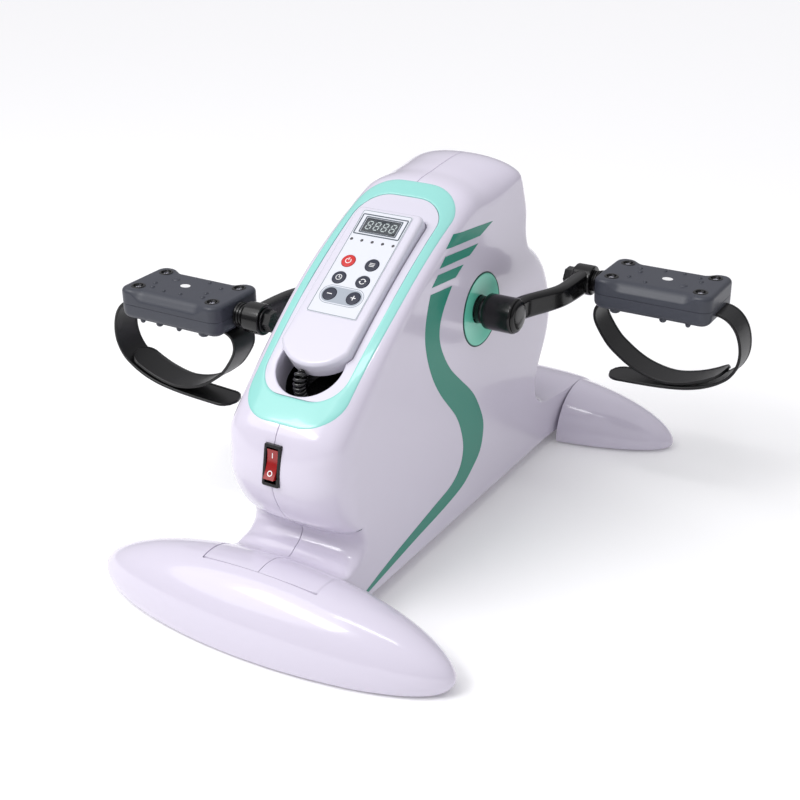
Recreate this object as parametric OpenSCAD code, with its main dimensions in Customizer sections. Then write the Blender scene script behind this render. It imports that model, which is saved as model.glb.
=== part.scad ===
// Motorised pedal exerciser: a moulded housing on two spindle-shaped feet, a driven crank with
// two strapped pedals, and a corded control handset that lies in the sloping console.
// Frame: origin on the floor under the middle of the machine, +X to the user's right,
// +Y away from the user, +Z up. All sizes are in millimetres.

/* [Housing] */
// Half the width of the housing at its flat sides
body_w = 50; // [49:0.5:51]
// Wall thickness of the moulded shells
wall = 3; // [2.5:0.1:3.2]

/* [Feet] */
// Half the length of the front foot along X
front_foot_a = 154; // [150:1:160]
// Half the length of the rear foot along X
rear_foot_a = 151; // [148:1:160]
// Height of the rubber pads under the feet
pad_h = 2; // [1.5:0.1:2.5]

/* [Drive] */
// Height of the crank axis above the floor
crank_z = 181.3; // [180:0.1:183]
// Crank length, from the crank axis to the pedal axis
crank_len = 100; // [96:1:100]
// Radius of the large belt pulley
pulley_r = 58; // [54:1:58]
// Radius of the motor pulley
motor_pulley_r = 11; // [9:1:12]

/* [Pedals] */
// Length of a pedal along its axle
pedal_l = 99; // [96:1:100]
// Width of a pedal across its axle
pedal_w = 58; // [54:1:60]
// Width of the foot strap
strap_w = 27; // [22:1:30]
// Thickness of the foot strap
strap_t = 2.4; // [2:0.1:2.6]

/* [Console] */
// Half the width of the trim ring
ring_w = 44; // [42:0.5:44]
// Half the width of the handset
handset_w = 29; // [28:0.5:29]
// Diameter of a handset button
button_d = 11; // [10:0.5:11]

/* [Hidden] */
$fn = 48;

// Colours
white = [0.91, 0.90, 0.95];
aqua = [0.66, 0.95, 0.90];
mint = [0.45, 0.78, 0.68];
slate = [0.25, 0.26, 0.29];
black = [0.06, 0.06, 0.07];
rubber_black = [0.10, 0.10, 0.11];
steel = [0.62, 0.63, 0.65];
paint = [0.22, 0.23, 0.25];
nylon = [0.88, 0.85, 0.76];
board_green = [0.10, 0.35, 0.20];
red = [0.80, 0.10, 0.12];
navy = [0.12, 0.14, 0.20];

// Gear pair: module, teeth, and the direction from the crank axis to the idler axis
gear_m = 2;
gear_z = 64;
pinion_z = 16;
mesh_angle = -34;
gear_gap = gear_m * (gear_z + pinion_z) / 2;

// Axes and planes
crank_y = 21.5;
idler_y = crank_y + gear_gap * cos(mesh_angle);
idler_z = crank_z + gear_gap * sin(mesh_angle);
motor_y = -52;
motor_z = 78;
pedal_x = 161.3;
foot_y = [-208.4, 204.5];
tube_z = [14, 34];
plate_x = 27;
plate_t = 3;
belt_x = [9, 21];
clear = 0.05;

// Console: its slope in degrees, the length of its trim ring, and the arc that bulges above the
// chord from console_start up the slope
slope = 32.7;
ring_l = 229;
console_start = [-183.1, 157.4];
console_bulge = 6.5;
console_r = (pow(ring_l / 2, 2) + pow(console_bulge, 2)) / (2 * console_bulge);
function console_h(s) = sqrt(pow(console_r, 2) - pow(s - ring_l / 2, 2)) - console_r + console_bulge;
function console_yz(s) = let (h = console_h(s)) [
  console_start[0] + s * cos(slope) - h * sin(slope),
  console_start[1] + s * sin(slope) + h * cos(slope)
];

// Side outline at the parting plane: y, z, depth of the rounding towards the side, its fullness
outline_front = [
  [-217, 40, 3, 2.2], [-218.5, 55, 3, 2.2], [-200, 55.4, 3, 2.2], [-181, 52.2, 6, 2.2],
  [-170, 54, 11, 2.3], [-163.8, 60, 14, 2.4], [-164.5, 66.4, 13, 2.6], [-180, 80, 24, 2.7],
  [-191, 97, 32, 2.8], [-196.5, 114.7, 34, 2.8], [-194.8, 131, 34, 2.8], [-190, 146, 28, 3.2]
];
outline_console = [
  for (s = [0, 25, 60, 95, 130, 165, 200, ring_l]) [console_yz(s)[0], console_yz(s)[1], 16, 5]
];
outline_rear = [
  [32, 287, 27, 3.5], [58.9, 287.8, 28, 3.5], [79, 283.5, 26, 3.2], [94, 272, 24, 3],
  [104.5, 255, 24, 3], [109.5, 237, 24, 3], [109.8, 222, 22, 2.8], [110, 209, 20, 2.6],
  [123, 195, 24, 2.5], [141.5, 176, 26, 2.5], [157, 156.5, 26, 2.5], [165.5, 138, 26, 2.5],
  [165.5, 119, 26, 2.5], [157, 102, 24, 2.5], [142, 86, 18, 2.6], [134, 70, 12, 2.6],
  [138, 57.5, 7, 2.4], [155, 50.5, 4, 2.2], [180, 48.6, 3.5, 2.2], [204.5, 48, 3.5, 2.2],
  [226, 43.5, 3.5, 2.2], [240.5, 33.5, 3.5, 2.2], [247.6, 20, 3.5, 2.2], [242, 11, 3, 2.2],
  [228, 7.8, 3, 2.2]
];
outline_bottom = [
  [150, 8, 3, 3], [40, 9, 3, 3], [-70, 10, 3, 3], [-145, 11.5, 3, 3], [-158, 16, 3, 3],
  [-163, 27, 3, 3], [-170, 36.5, 3, 2.5], [-195, 38.5, 3, 2.2]
];

// A closed smooth curve through its points, with one more point halfway along each span
function halfway(p, i) = let (n = len(p)) (
  9 * (p[i] + p[(i + 1) % n]) - p[(i + n - 1) % n] - p[(i + 2) % n]
) / 16;
function smooth(p) = [for (i = [0 : len(p) - 1]) each [p[i], halfway(p, i)]];
outline = smooth(concat(outline_front, outline_console, outline_rear, outline_bottom));

// Housing skin: every outline point sinks inwards as the skin turns from the top to the side
function inward(i) = let (
  n = len(outline),
  d = outline[(i + 1) % n] - outline[(i + n - 1) % n],
  size = norm([d[0], d[1]])
) [d[1] / size, -d[0] / size];
function sunk(u, n) = 1 - pow(1 - pow(u, n), 1 / n);
function skin_point(i, u, half_w, inset, share) = let (
  p = outline[i],
  q = inward(i),
  d = inset + share * p[2] * sunk(u, p[3])
) [half_w * u, p[0] + q[0] * d, p[1] + q[1] * d];
skin_steps = [0.002, 0.4, 0.68, 0.84, 0.93, 0.98, 1];

// The flat side is split where the outline is narrow: above and below the neck at the front, and
// above and below the heel at the rear. The heel is a fan round the middle of its cross tube.
neck = [10, 98];
heel = [74, 90];
side_loops = [
  [each [neck[0] : heel[0]], each [heel[1] : neck[1]]],
  [for (i = [neck[1] : len(outline) + neck[0]]) i % len(outline)]
];

module skin(half_w, inset_step, share) {
  n = len(outline);
  k = len(skin_steps);
  outer = [
    for (u = skin_steps) for (i = [0 : n - 1]) skin_point(i, u, half_w, 0, 1)
  ];
  inner = [
    for (u = skin_steps) for (i = [0 : n - 1])
      skin_point(i, u, half_w - inset_step, inset_step, share)
  ];
  m = n * k;
  heel_middle = [for (x = [half_w, half_w - inset_step]) [x, foot_y[1], (tube_z[0] + tube_z[1]) / 2]];
  polyhedron(
    points = concat(outer, inner, heel_middle),
    faces = concat(
      [for (j = [0 : k - 2]) for (i = [0 : n - 1]) let (a = j * n + i, b = j * n + (i + 1) % n)
        each [[a, b, a + n], [b, b + n, a + n]]],
      [for (j = [0 : k - 2]) for (i = [0 : n - 1]) let (a = m + j * n + i, b = m + j * n + (i + 1) % n)
        each [[a, a + n, b], [b, a + n, b + n]]],
      [for (i = [0 : n - 1]) let (j = (i + 1) % n) each [[i, m + i, j], [j, m + i, m + j]]],
      [for (loop = side_loops) [for (i = loop) m - n + i]],
      [for (loop = side_loops) [for (k = [len(loop) - 1 : -1 : 0]) 2 * m - n + loop[k]]],
      [for (i = [heel[0] : heel[1]]) let (j = i < heel[1] ? i + 1 : heel[0])
        each [[m - n + i, m - n + j, 2 * m], [2 * m - n + j, 2 * m - n + i, 2 * m + 1]]]
    )
  );
}

// Places a child drawn in the y, z plane, so that it is extruded along +X from x
module along_x(x) {
  translate([x, 0, 0]) rotate([90, 0, 90]) children();
}

// Places a child in console axes: x, distance up the slope, height above the chord
module on_console() {
  translate([0, console_start[0], console_start[1]]) rotate([slope, 0, 0]) children();
}

// Places a child in the power switch's axes: x, up the chin, outwards
module on_switch() {
  translate([0, -194.2, 130.5]) rotate([78, 0, 0]) children();
}

// Places a child at the crank axis, turned half round for the left side
module on_side(side) {
  translate([0, crank_y, crank_z]) rotate([0, 0, side > 0 ? 0 : 180]) children();
}

// Places a child at a pedal's axle
module on_pedal(side) {
  on_side(side) translate([pedal_x, crank_len, 0]) children();
}

module rounded_box_2d(x, y, r) {
  union() {
    square([2 * x - 2 * r, 2 * y], center = true);
    square([2 * x, 2 * y - 2 * r], center = true);
    for (i = [-1, 1]) for (j = [-1, 1]) translate([i * (x - r), j * (y - r)]) circle(r = r);
  }
}

module ring_outline(grow) {
  translate([0, ring_l / 2]) rounded_box_2d(ring_w + grow, ring_l / 2 + grow, 31 + grow);
}

module window_outline(grow) {
  translate([0, 117]) rounded_box_2d(36.5 + grow, 95 + grow, 25 + grow);
}

module handset_outline(grow) {
  end_r = 33;
  union() {
    intersection() {
      translate([0, 45 + end_r]) circle(r = end_r + grow);
      translate([-handset_w - grow, 20]) square([2 * (handset_w + grow), 60]);
    }
    translate([0, 131.5]) rounded_box_2d(handset_w + grow, 58.5 + grow, 6 + grow);
  }
}

// The solid below the console's curved surface, lowered by drop
module under_console(drop) {
  translate([0, ring_l / 2, console_bulge - console_r])
    rotate([0, 90, 0]) cylinder(r = console_r - drop, h = 200, center = true, $fn = 256);
}

// ---------------------------------------------------------------- housing
boss_at = [[-146, 108], [-92, 50], [120, 60], [86, 222], [-60, 200]];
disc_r = 29.8;
well_at = [0, 51];
well_r = 27;

module housing_cuts() {
  on_console() translate([0, 0, -14]) linear_extrude(40) ring_outline(0.3);
  along_x(40) translate([crank_y, crank_z]) linear_extrude(20) circle(r = disc_r + 0.4);
  on_switch() translate([-6.6, -14.3, -22]) cube([13.2, 28.6, 40]);
  on_switch() translate([-7.5, -15.8, -0.2]) cube([15, 31.6, 20]);
  translate([-20.5, -175, tube_z[0] - 0.5]) cube([41, 62, 21]);
  translate([-60, foot_y[1] - 15.4, tube_z[0] - 0.4]) cube([120, 30.8, 20.8]);
  translate([-14.2, 140, 101.8]) cube([28.4, 40, 20.4]);
}

module housing_half() {
  difference() {
    union() {
      skin(body_w, wall, 0.6);
      for (p = boss_at) along_x(0.2) translate(p) linear_extrude(body_w - 2) circle(r = 6.5);
    }
    housing_cuts();
    for (p = boss_at) along_x(-1) translate(p) linear_extrude(21) circle(r = 1.95);
  }
}

module housing_right() {
  color(white) housing_half();
}

module housing_left() {
  color(white) difference() {
    mirror([1, 0, 0]) housing_half();
    for (p = boss_at) {
      along_x(-25) translate(p) linear_extrude(26) circle(r = 2.2);
      along_x(-60) translate(p) linear_extrude(46.3) circle(r = 4.3);
    }
  }
}

module housing_screws() {
  color(steel) {
    for (p = boss_at) {
      along_x(-13.8) translate(p) linear_extrude(32) circle(r = 1.9);
      along_x(-16.8) translate(p) linear_extrude(3) circle(r = 4);
    }
    for (x = [-70, 70]) for (y = foot_y) translate([x, y, 0]) {
      translate([0, 0, 5.4]) cylinder(r = 4.8, h = 2.5);
      translate([0, 0, 7.8]) cylinder(r = 2.4, h = 12);
    }
  }
}

module console_bezel() {
  color(aqua) on_console() intersection() {
    difference() {
      under_console(0);
      under_console(wall);
    }
    translate([0, 0, -20]) linear_extrude(40) difference() {
      ring_outline(0);
      window_outline(0);
    }
  }
}

module console_panel() {
  color(white) on_console() difference() {
    intersection() {
      under_console(0.3);
      union() {
        difference() {
          translate([0, 0, -20]) linear_extrude(40) window_outline(-0.3);
          under_console(wall);
        }
        translate([0, 0, -6.5]) linear_extrude(20) handset_outline(3);
        translate([well_at[0], well_at[1], -43]) cylinder(r = well_r + 1.6, h = 55);
      }
    }
    translate([0, 0, -3.5]) linear_extrude(20) handset_outline(0.5);
    translate([well_at[0], well_at[1], -40]) cylinder(r = well_r, h = 55);
    translate([11, 70, -33]) rotate([-90, 0, 0]) cylinder(r = 6.1, h = 14);
  }
}

module cord_grommet() {
  color(black) on_console() difference() {
    union() {
      translate([11, 71.2, -33]) rotate([-90, 0, 0]) cylinder(r = 6, h = 11);
      translate([11, 80.8, -33]) rotate([-90, 0, 0]) cylinder(r = 8, h = 2);
    }
    translate([11, 72.5, -33]) rotate([-90, 0, 0]) cylinder(r = 2, h = 11);
  }
}

// The curly lead from the handset's lower end to the grommet, in console axes
cord_r = 5;
cord_route = [
  [-4, 44.9, 1.2], [-4, 41.5, 1.2], [-4.4, 38, -1.6], [-4.8, 35.5, -6], [-5, 34, -12], [-5, 33.5, -18],
  [-4.5, 34, -24], [-3, 37, -29.5], [-1, 42, -33], [2, 48, -34], [5, 54, -34.3], [8.6, 60, -34],
  [10.6, 64, -33.2], [11, 67.6, -33], [11, 71, -33]
];

module handset_cord() {
  sides = 10;
  n = len(cord_route);
  function run(i) = let (
    d = cord_route[min(i + 1, n - 1)] - cord_route[max(i - 1, 0)]
  ) d / norm(d);
  function ring(i) = let (
    t = run(i),
    across = cross(t, [0, 0.7, 0.7]) / norm(cross(t, [0, 0.7, 0.7])),
    up = cross(across, t)
  ) [for (j = [0 : sides - 1]) let (a = 360 * j / sides)
    cord_route[i] + cord_r * (cos(a) * across + sin(a) * up)];
  color(black) on_console() polyhedron(
    points = [for (i = [0 : n - 1]) each ring(i)],
    faces = concat(
      [[for (j = [sides - 1 : -1 : 0]) j]],
      [[for (j = [0 : sides - 1]) (n - 1) * sides + j]],
      [for (i = [0 : n - 2]) for (j = [0 : sides - 1]) let (
        a = i * sides + j, b = i * sides + (j + 1) % sides
      ) each [[a, b, a + sides], [b, b + sides, a + sides]]]
    )
  );
}

// ---------------------------------------------------------------- feet and frame
// Spindle-shaped foot: an ellipse across Y and Z that tapers to both ends and is flat below
function taper(x, a) = pow(1 - pow(x / a, 2), 0.575);
function foot_ring(x, a, b, c, zc, floor_z, sides) = let (f = max(taper(x, a), 0.02)) [
  for (j = [0 : sides - 1]) let (t = 360 * j / sides)
    [x, b * f * cos(t), max(zc + c * f * sin(t), floor_z)]
];

module spindle(a, b, c, zc, floor_z) {
  sides = 28;
  steps = 20;
  stations = [for (k = [0 : steps]) a * sin(174 * k / steps - 87)];
  polyhedron(
    points = [for (x = stations) each foot_ring(x, a, b, c, zc, floor_z, sides)],
    faces = concat(
      [[for (j = [0 : sides - 1]) j]],
      [[for (j = [sides - 1 : -1 : 0]) steps * sides + j]],
      [for (i = [0 : steps - 1]) for (j = [0 : sides - 1]) let (
        p = i * sides + j, q = i * sides + (j + 1) % sides
      ) each [[p, p + sides, q], [q, p + sides, q + sides]]]
    )
  );
}

// Post between a foot's sole and its cross tube, and the stepped hole for the screw in it
module foot_post() {
  translate([0, 0, pad_h]) cylinder(r = 9, h = tube_z[0] - pad_h - 0.1);
}

module foot_screw_hole() {
  translate([0, 0, -1]) cylinder(r = 5.2, h = 9);
  cylinder(r = 2.6, h = tube_z[0] + 1);
}

module front_foot_shell() {
  a = front_foot_a;
  color(white) difference() {
    translate([0, foot_y[0], 0]) union() {
      difference() {
        spindle(a, 42, 45.6, 12, pad_h);
        spindle(a - wall, 42 - wall, 45.6 - wall, 12, pad_h + wall);
      }
      for (x = [-70, 70]) translate([x, 0, 0]) foot_post();
    }
    translate([-body_w - 0.3, -220.8, 36.6]) cube([2 * body_w + 0.6, 80, 40]);
    translate([-20.5, -190, tube_z[0] - 0.5]) cube([41, 40, 21]);
    for (x = [-70, 70]) translate([x, foot_y[0], 0]) foot_screw_hole();
  }
}

module rear_foot() {
  a = rear_foot_a;
  translate([0, foot_y[1], 0]) difference() {
    union() {
      difference() {
        spindle(a, 45.5, 42, 6, pad_h);
        spindle(a - wall, 45.5 - wall, 42 - wall, 6, pad_h + wall);
        translate([-2 * a, -60, -1]) cube([2 * a + body_w + 0.3, 120, 60]);
      }
      translate([70, 0, 0]) foot_post();
    }
    translate([70, 0, 0]) foot_screw_hole();
  }
}

module rear_foot_right() {
  color(white) rear_foot();
}

module rear_foot_left() {
  color(white) mirror([1, 0, 0]) rear_foot();
}

module rubber_feet() {
  color(rubber_black) for (x = [-105, 105]) for (y = foot_y) translate([x, y, 0])
    linear_extrude(pad_h) rounded_box_2d(17, 10, 8);
}

module tube_along_x(half_l, y) {
  difference() {
    translate([-half_l, y - 15, tube_z[0]]) cube([2 * half_l, 30, 20]);
    translate([-half_l - 1, y - 13.5, tube_z[0] + 1.5]) cube([2 * half_l + 2, 27, 17]);
    for (x = [-70, 70]) translate([x, y, tube_z[0] - 1]) cylinder(r = 2.45, h = 4);
  }
}

module front_cross_tube() {
  color(paint) tube_along_x(104, foot_y[0]);
}

module rear_cross_tube() {
  color(paint) tube_along_x(80, foot_y[1]);
}

module frame_spine() {
  start = foot_y[0] + 15;
  length = foot_y[1] - foot_y[0] - 30;
  color(paint) difference() {
    translate([-20, start, tube_z[0]]) cube([40, length, 20]);
    translate([-18.5, start - 1, tube_z[0] + 1.5]) cube([37, length + 2, 17]);
  }
}

module frame_plate() {
  difference() {
    union() {
      along_x(plate_x) linear_extrude(plate_t) union() {
        polygon([[-10, 16], [112, 16], [112, 138], [88, 156], [44, 200], [0, 200], [-4, 181]]);
        translate([crank_y, crank_z]) circle(r = 25);
        translate([idler_y, idler_z]) circle(r = 20);
      }
      along_x(plate_x - 2) translate([crank_y, crank_z]) linear_extrude(12) circle(r = 21);
      along_x(plate_x - 1) translate([idler_y, idler_z]) linear_extrude(9) circle(r = 14);
      translate([20, 0, 18]) cube([plate_x - 20 + 1, 100, 12]);
    }
    along_x(plate_x - 5) translate([crank_y, crank_z]) linear_extrude(20) circle(r = 17.5 + clear);
    along_x(plate_x - 5) translate([idler_y, idler_z]) linear_extrude(20) circle(r = 11 + clear);
    for (y = [0, 105]) along_x(plate_x - 1) translate([y, 60]) linear_extrude(6) circle(r = 3.05);
    along_x(plate_x - 1) translate([40, 95]) linear_extrude(6) rounded_box_2d(24, 22, 10);
  }
}

module frame_plate_right() {
  color(paint) frame_plate();
}

module frame_plate_left() {
  color(paint) mirror([1, 0, 0]) frame_plate();
}

module frame_tie_rods() {
  color(steel) for (y = [0, 105]) {
    along_x(-plate_x) translate([y, 60]) linear_extrude(2 * plate_x) circle(r = 5);
    along_x(-plate_x - 6) translate([y, 60]) linear_extrude(2 * plate_x + 12) circle(r = 3);
    for (x = [-plate_x - 6, plate_x + plate_t]) along_x(x) translate([y, 60])
      linear_extrude(3) circle(r = 5, $fn = 6);
  }
}

module bearing_ring(x, y, z, w, r_out, r_in) {
  along_x(x) translate([y, z]) linear_extrude(w) difference() {
    circle(r = r_out);
    circle(r = r_in);
  }
}

module shaft_bearings() {
  color(steel) {
    for (x = [-36, 26]) bearing_ring(x, crank_y, crank_z, 10, 17.5, 8.5 + clear);
    for (x = [-34, 27]) bearing_ring(x, idler_y, idler_z, 7, 11, 4 + clear);
  }
}

// Shallow dished cover with a hole for the crank's collar and a flange behind the housing wall
module disc_cover() {
  back = body_w - wall - 0.1;
  translate([0, crank_y, crank_z]) rotate([0, 90, 0]) rotate_extrude($fn = 96)
    polygon([
      [11.6, back - 1.9], [disc_r + 3, back - 1.9], [disc_r + 3, back], [disc_r, back],
      [disc_r, body_w + 0.6], [28.6, body_w + 0.6], [11.6, body_w - 1.8]
    ]);
}

module disc_cover_right() {
  color(mint) disc_cover();
}

module disc_cover_left() {
  color(mint) mirror([1, 0, 0]) disc_cover();
}

// ---------------------------------------------------------------- electrics
module switch_bezel() {
  color(black) on_switch() difference() {
    union() {
      translate([-7.2, -15.5, 0]) cube([14.4, 31, 1.4]);
      translate([-6.3, -14, -16]) cube([12.6, 28, 16.5]);
    }
    translate([-4.9, -13, -14]) cube([9.8, 26, 20]);
    translate([-8, 0, -4]) rotate([0, 90, 0]) cylinder(r = 1.25 + clear, h = 16);
  }
}

module switch_rocker() {
  color(red) on_switch() translate([0, 0, -4]) rotate([-8, 0, 0]) {
    translate([-4.6, 0, 0]) rotate([90, 0, 90]) linear_extrude(9.2)
      polygon([[-10.8, 6.8], [0, 4.6], [10.8, 6.8], [9.4, -3], [5, -6.5], [-5, -6.5], [-9.4, -3]]);
    translate([-6.2, 0, 0]) rotate([0, 90, 0]) cylinder(r = 1.25, h = 12.4);
  }
}

module power_inlet() {
  color(black) difference() {
    union() {
      translate([-14, 150, 102]) cube([28, 17.6, 20]);
      for (x = [-7, 5]) translate([x, 143, 110]) cube([2, 8, 4]);
    }
    translate([0, 168, 112]) rotate([90, 0, 0]) linear_extrude(13) rounded_box_2d(10.5, 5.2, 5.1);
  }
  color(steel) for (x = [-4.3, 4.3]) translate([x, 163, 112]) rotate([90, 0, 0])
    cylinder(r = 1.2, h = 9, $fn = 24);
}

module motor_body() {
  color(steel) along_x(-44) translate([motor_y, motor_z]) difference() {
    union() {
      linear_extrude(49) circle(r = 29);
      translate([0, 0, 2]) linear_extrude(42) circle(r = 30);
    }
    translate([0, 0, -1]) linear_extrude(52) circle(r = 4 + clear);
  }
}

module motor_bracket() {
  color(paint) {
    along_x(5.2) linear_extrude(3) difference() {
      polygon([[-85, 34], [-19, 34], [-19, 82], [-34, 108], [-70, 108], [-85, 82]]);
      translate([motor_y, motor_z]) circle(r = 8);
    }
    translate([-20, -85, 34]) cube([25.3, 66, 3]);
  }
}

module power_supply() {
  color(steel) difference() {
    translate([-30, -150, 34.1]) cube([60, 50, 34]);
    for (x = [-20 : 8 : 20]) translate([x - 2, -140, 60]) cube([4, 30, 20]);
  }
}

module control_board() {
  color(board_green) {
    translate([-32, -95, 74]) cube([64, 1.6, 50]);
    translate([-20, -98.8, 80]) cube([14, 4, 10]);
    translate([6, -98.8, 84]) cube([18, 4, 22]);
    translate([-18, -96.4, 100]) rotate([90, 0, 0]) cylinder(r = 6, h = 8);
  }
  color(steel) for (x = [-28, 28]) translate([x, -97, 68.1]) cube([3, 1.9, 20]);
}

// ---------------------------------------------------------------- drive
// Involute flank: angle from a tooth's middle to its flank at radius r
function inv(a) = tan(a) * 180 / PI - a;
function flank(r, teeth, play) = let (
  rp = gear_m * teeth / 2,
  rb = rp * cos(20)
) 90 / teeth - play / rp * 180 / PI + inv(20) - inv(acos(min(1, rb / r)));

module gear_2d(teeth, play) {
  rp = gear_m * teeth / 2;
  root = rp - 1.25 * gear_m;
  tip = rp + gear_m;
  radii = [root, rp - 0.6 * gear_m, rp, rp + 0.5 * gear_m, tip];
  polygon([
    for (i = [0 : teeth - 1]) each [
      for (r = radii) let (t = 360 * i / teeth - flank(r, teeth, play)) r * [cos(t), sin(t)],
      for (j = [len(radii) - 1 : -1 : 0]) let (
        r = radii[j], t = 360 * i / teeth + flank(r, teeth, play)
      ) r * [cos(t), sin(t)]
    ]
  ]);
}

module crank_gear() {
  color(nylon) difference() {
    along_x(-14) translate([crank_y, crank_z]) linear_extrude(10)
      rotate(mesh_angle + 180 / gear_z) gear_2d(gear_z, 0.12);
    along_x(-15) translate([crank_y, crank_z]) linear_extrude(12) circle(r = 8.5 + clear);
    along_x(-9) translate([crank_y, crank_z]) linear_extrude(6) difference() {
      circle(r = 55);
      circle(r = 18);
    }
  }
}

module idler_pinion() {
  color(steel) difference() {
    along_x(-15) translate([idler_y, idler_z]) linear_extrude(12)
      rotate(mesh_angle + 180) gear_2d(pinion_z, 0.12);
    along_x(-16) translate([idler_y, idler_z]) linear_extrude(14) circle(r = 4 + clear);
  }
}

module idler_shaft() {
  color(steel) along_x(-36) translate([idler_y, idler_z]) linear_extrude(72) circle(r = 4);
}

module idler_pulley() {
  color(paint) along_x(belt_x[0]) translate([idler_y, idler_z]) difference() {
    linear_extrude(12) circle(r = pulley_r);
    translate([0, 0, -1]) linear_extrude(5) difference() {
      circle(r = pulley_r - 5);
      circle(r = 12);
    }
    translate([0, 0, 8]) linear_extrude(5) difference() {
      circle(r = pulley_r - 5);
      circle(r = 12);
    }
    translate([0, 0, -1]) linear_extrude(14) circle(r = 4 + clear);
    for (a = [0 : 60 : 300]) rotate(a) translate([33, 0, -1]) linear_extrude(14) circle(r = 9);
  }
}

module motor_rotor() {
  color(steel) {
    along_x(-42) translate([motor_y, motor_z]) linear_extrude(66) circle(r = 4);
    along_x(belt_x[0]) translate([motor_y, motor_z]) linear_extrude(12) circle(r = motor_pulley_r);
  }
}

// Belt round both pulleys: two arcs joined by their common tangents
function belt_loop(grow) = let (
  dy = motor_y - idler_y,
  dz = motor_z - idler_z,
  lean = asin((pulley_r - motor_pulley_r) / norm([dy, dz])),
  toward = atan2(dz, dy)
) concat(
  [for (k = [0 : 36]) let (t = toward + 90 - lean + (180 + 2 * lean) * k / 36)
    [idler_y, idler_z] + (pulley_r + grow) * [cos(t), sin(t)]],
  [for (k = [0 : 12]) let (t = toward - 90 + lean + (180 - 2 * lean) * k / 12)
    [motor_y, motor_z] + (motor_pulley_r + grow) * [cos(t), sin(t)]]
);

module drive_belt() {
  color(rubber_black) along_x(belt_x[0] + 1) linear_extrude(10) difference() {
    polygon(belt_loop(2.4));
    polygon(belt_loop(0.4));
  }
}

module crank_shaft() {
  color(steel) {
    along_x(-54) translate([crank_y, crank_z]) linear_extrude(108) circle(r = 8.5);
    along_x(-78) translate([crank_y, crank_z]) linear_extrude(156) circle(r = 6.5);
  }
}

module shaft_collars() {
  color(black) for (side = [-1, 1]) on_side(side) {
    rotate([0, 90, 0]) translate([0, 0, 49]) difference() {
      cylinder(r = 11, h = 4);
      translate([0, 0, -1]) cylinder(r = 8.5 + clear, h = 6);
    }
    rotate([0, 90, 0]) translate([0, 0, 54.1]) difference() {
      cylinder(r = 9.5, h = 1.8);
      translate([0, 0, -1]) cylinder(r = 6.5 + clear, h = 6);
    }
  }
}

// Crank arm: a round hub on the shaft, a bent bar and an eye for the pedal spindle
module crank_arm() {
  difference() {
    union() {
      translate([56, 0, 0]) rotate([0, 90, 0]) cylinder(r = 14.3, h = 25.5);
      translate([86, crank_len, 0]) rotate([0, 90, 0]) cylinder(r = 12.5, h = 16);
      hull() {
        translate([69, 4, -9]) cube([12, 4, 18]);
        translate([71, 16, -9.5]) cube([10.4, 4, 19]);
      }
      hull() {
        translate([71, 16, -9.5]) cube([10.4, 4, 19]);
        translate([86.5, 52, -9]) cube([12, 4, 18]);
      }
      hull() {
        translate([86.5, 52, -9]) cube([12, 4, 18]);
        translate([88, crank_len - 11, -10]) cube([12, 4, 20]);
      }
    }
    translate([50, 0, 0]) rotate([0, 90, 0]) cylinder(r = 6.5 + clear, h = 40);
    translate([80, crank_len, 0]) rotate([0, 90, 0]) cylinder(r = 6 + clear, h = 30);
  }
}

module crank_arm_right() {
  color(black) on_side(1) crank_arm();
}

module crank_arm_left() {
  color(black) on_side(-1) crank_arm();
}

module hub_caps() {
  color(black) for (side = [-1, 1]) on_side(side) translate([81.6, 0, 0]) rotate([0, 90, 0]) {
    cylinder(r = 13, h = 1);
    translate([0, 0, 1]) cylinder(r1 = 13, r2 = 9.5, h = 1.8);
  }
}

module pedal_spindle() {
  translate([-76, 0, 0]) rotate([0, 90, 0]) cylinder(r = 6, h = 118);
  translate([-59.2, 0, 0]) rotate([0, 90, 0]) cylinder(r = 8.5, h = 8.4);
  translate([40.3, 0, 0]) rotate([0, 90, 0]) cylinder(r = 8, h = 2.5);
}

module pedal_spindle_right() {
  color(steel) on_pedal(1) pedal_spindle();
}

module pedal_spindle_left() {
  color(steel) on_pedal(-1) pedal_spindle();
}

module pedal_nuts() {
  color(black) for (side = [-1, 1]) on_pedal(side) translate([-84, 0, 0]) rotate([0, 90, 0])
    difference() {
      union() {
        cylinder(r = 8.6, h = 8.6, $fn = 6);
        translate([0, 0, 7]) cylinder(r = 10, h = 1.6);
      }
      translate([0, 0, 7.9]) cylinder(r = 6 + clear, h = 2);
    }
}

// ---------------------------------------------------------------- pedals
pedal_screw_at = [37.3, 17.3];
part_z = 1;

module pedal_bosses(from, to, r) {
  for (i = [-1, 1]) for (j = [-1, 1])
    translate([i * pedal_screw_at[0], j * pedal_screw_at[1], from]) cylinder(r = r, h = to - from);
}

module pedal_upper() {
  difference() {
    translate([0, 0, part_z + 0.1]) linear_extrude(12.9) rounded_box_2d(pedal_l / 2, pedal_w / 2, 9);
    difference() {
      translate([0, 0, part_z - 1])
        linear_extrude(11.5) rounded_box_2d(pedal_l / 2 - 2.5, pedal_w / 2 - 2.5, 7);
      pedal_bosses(part_z - 1, 14, 6.5);
    }
    translate([-60, 0, 0]) rotate([0, 90, 0]) cylinder(r = 9.3, h = 101);
    pedal_bosses(10.4, 20, 5.4);
    pedal_bosses(-5, 20, 2);
  }
}

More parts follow.
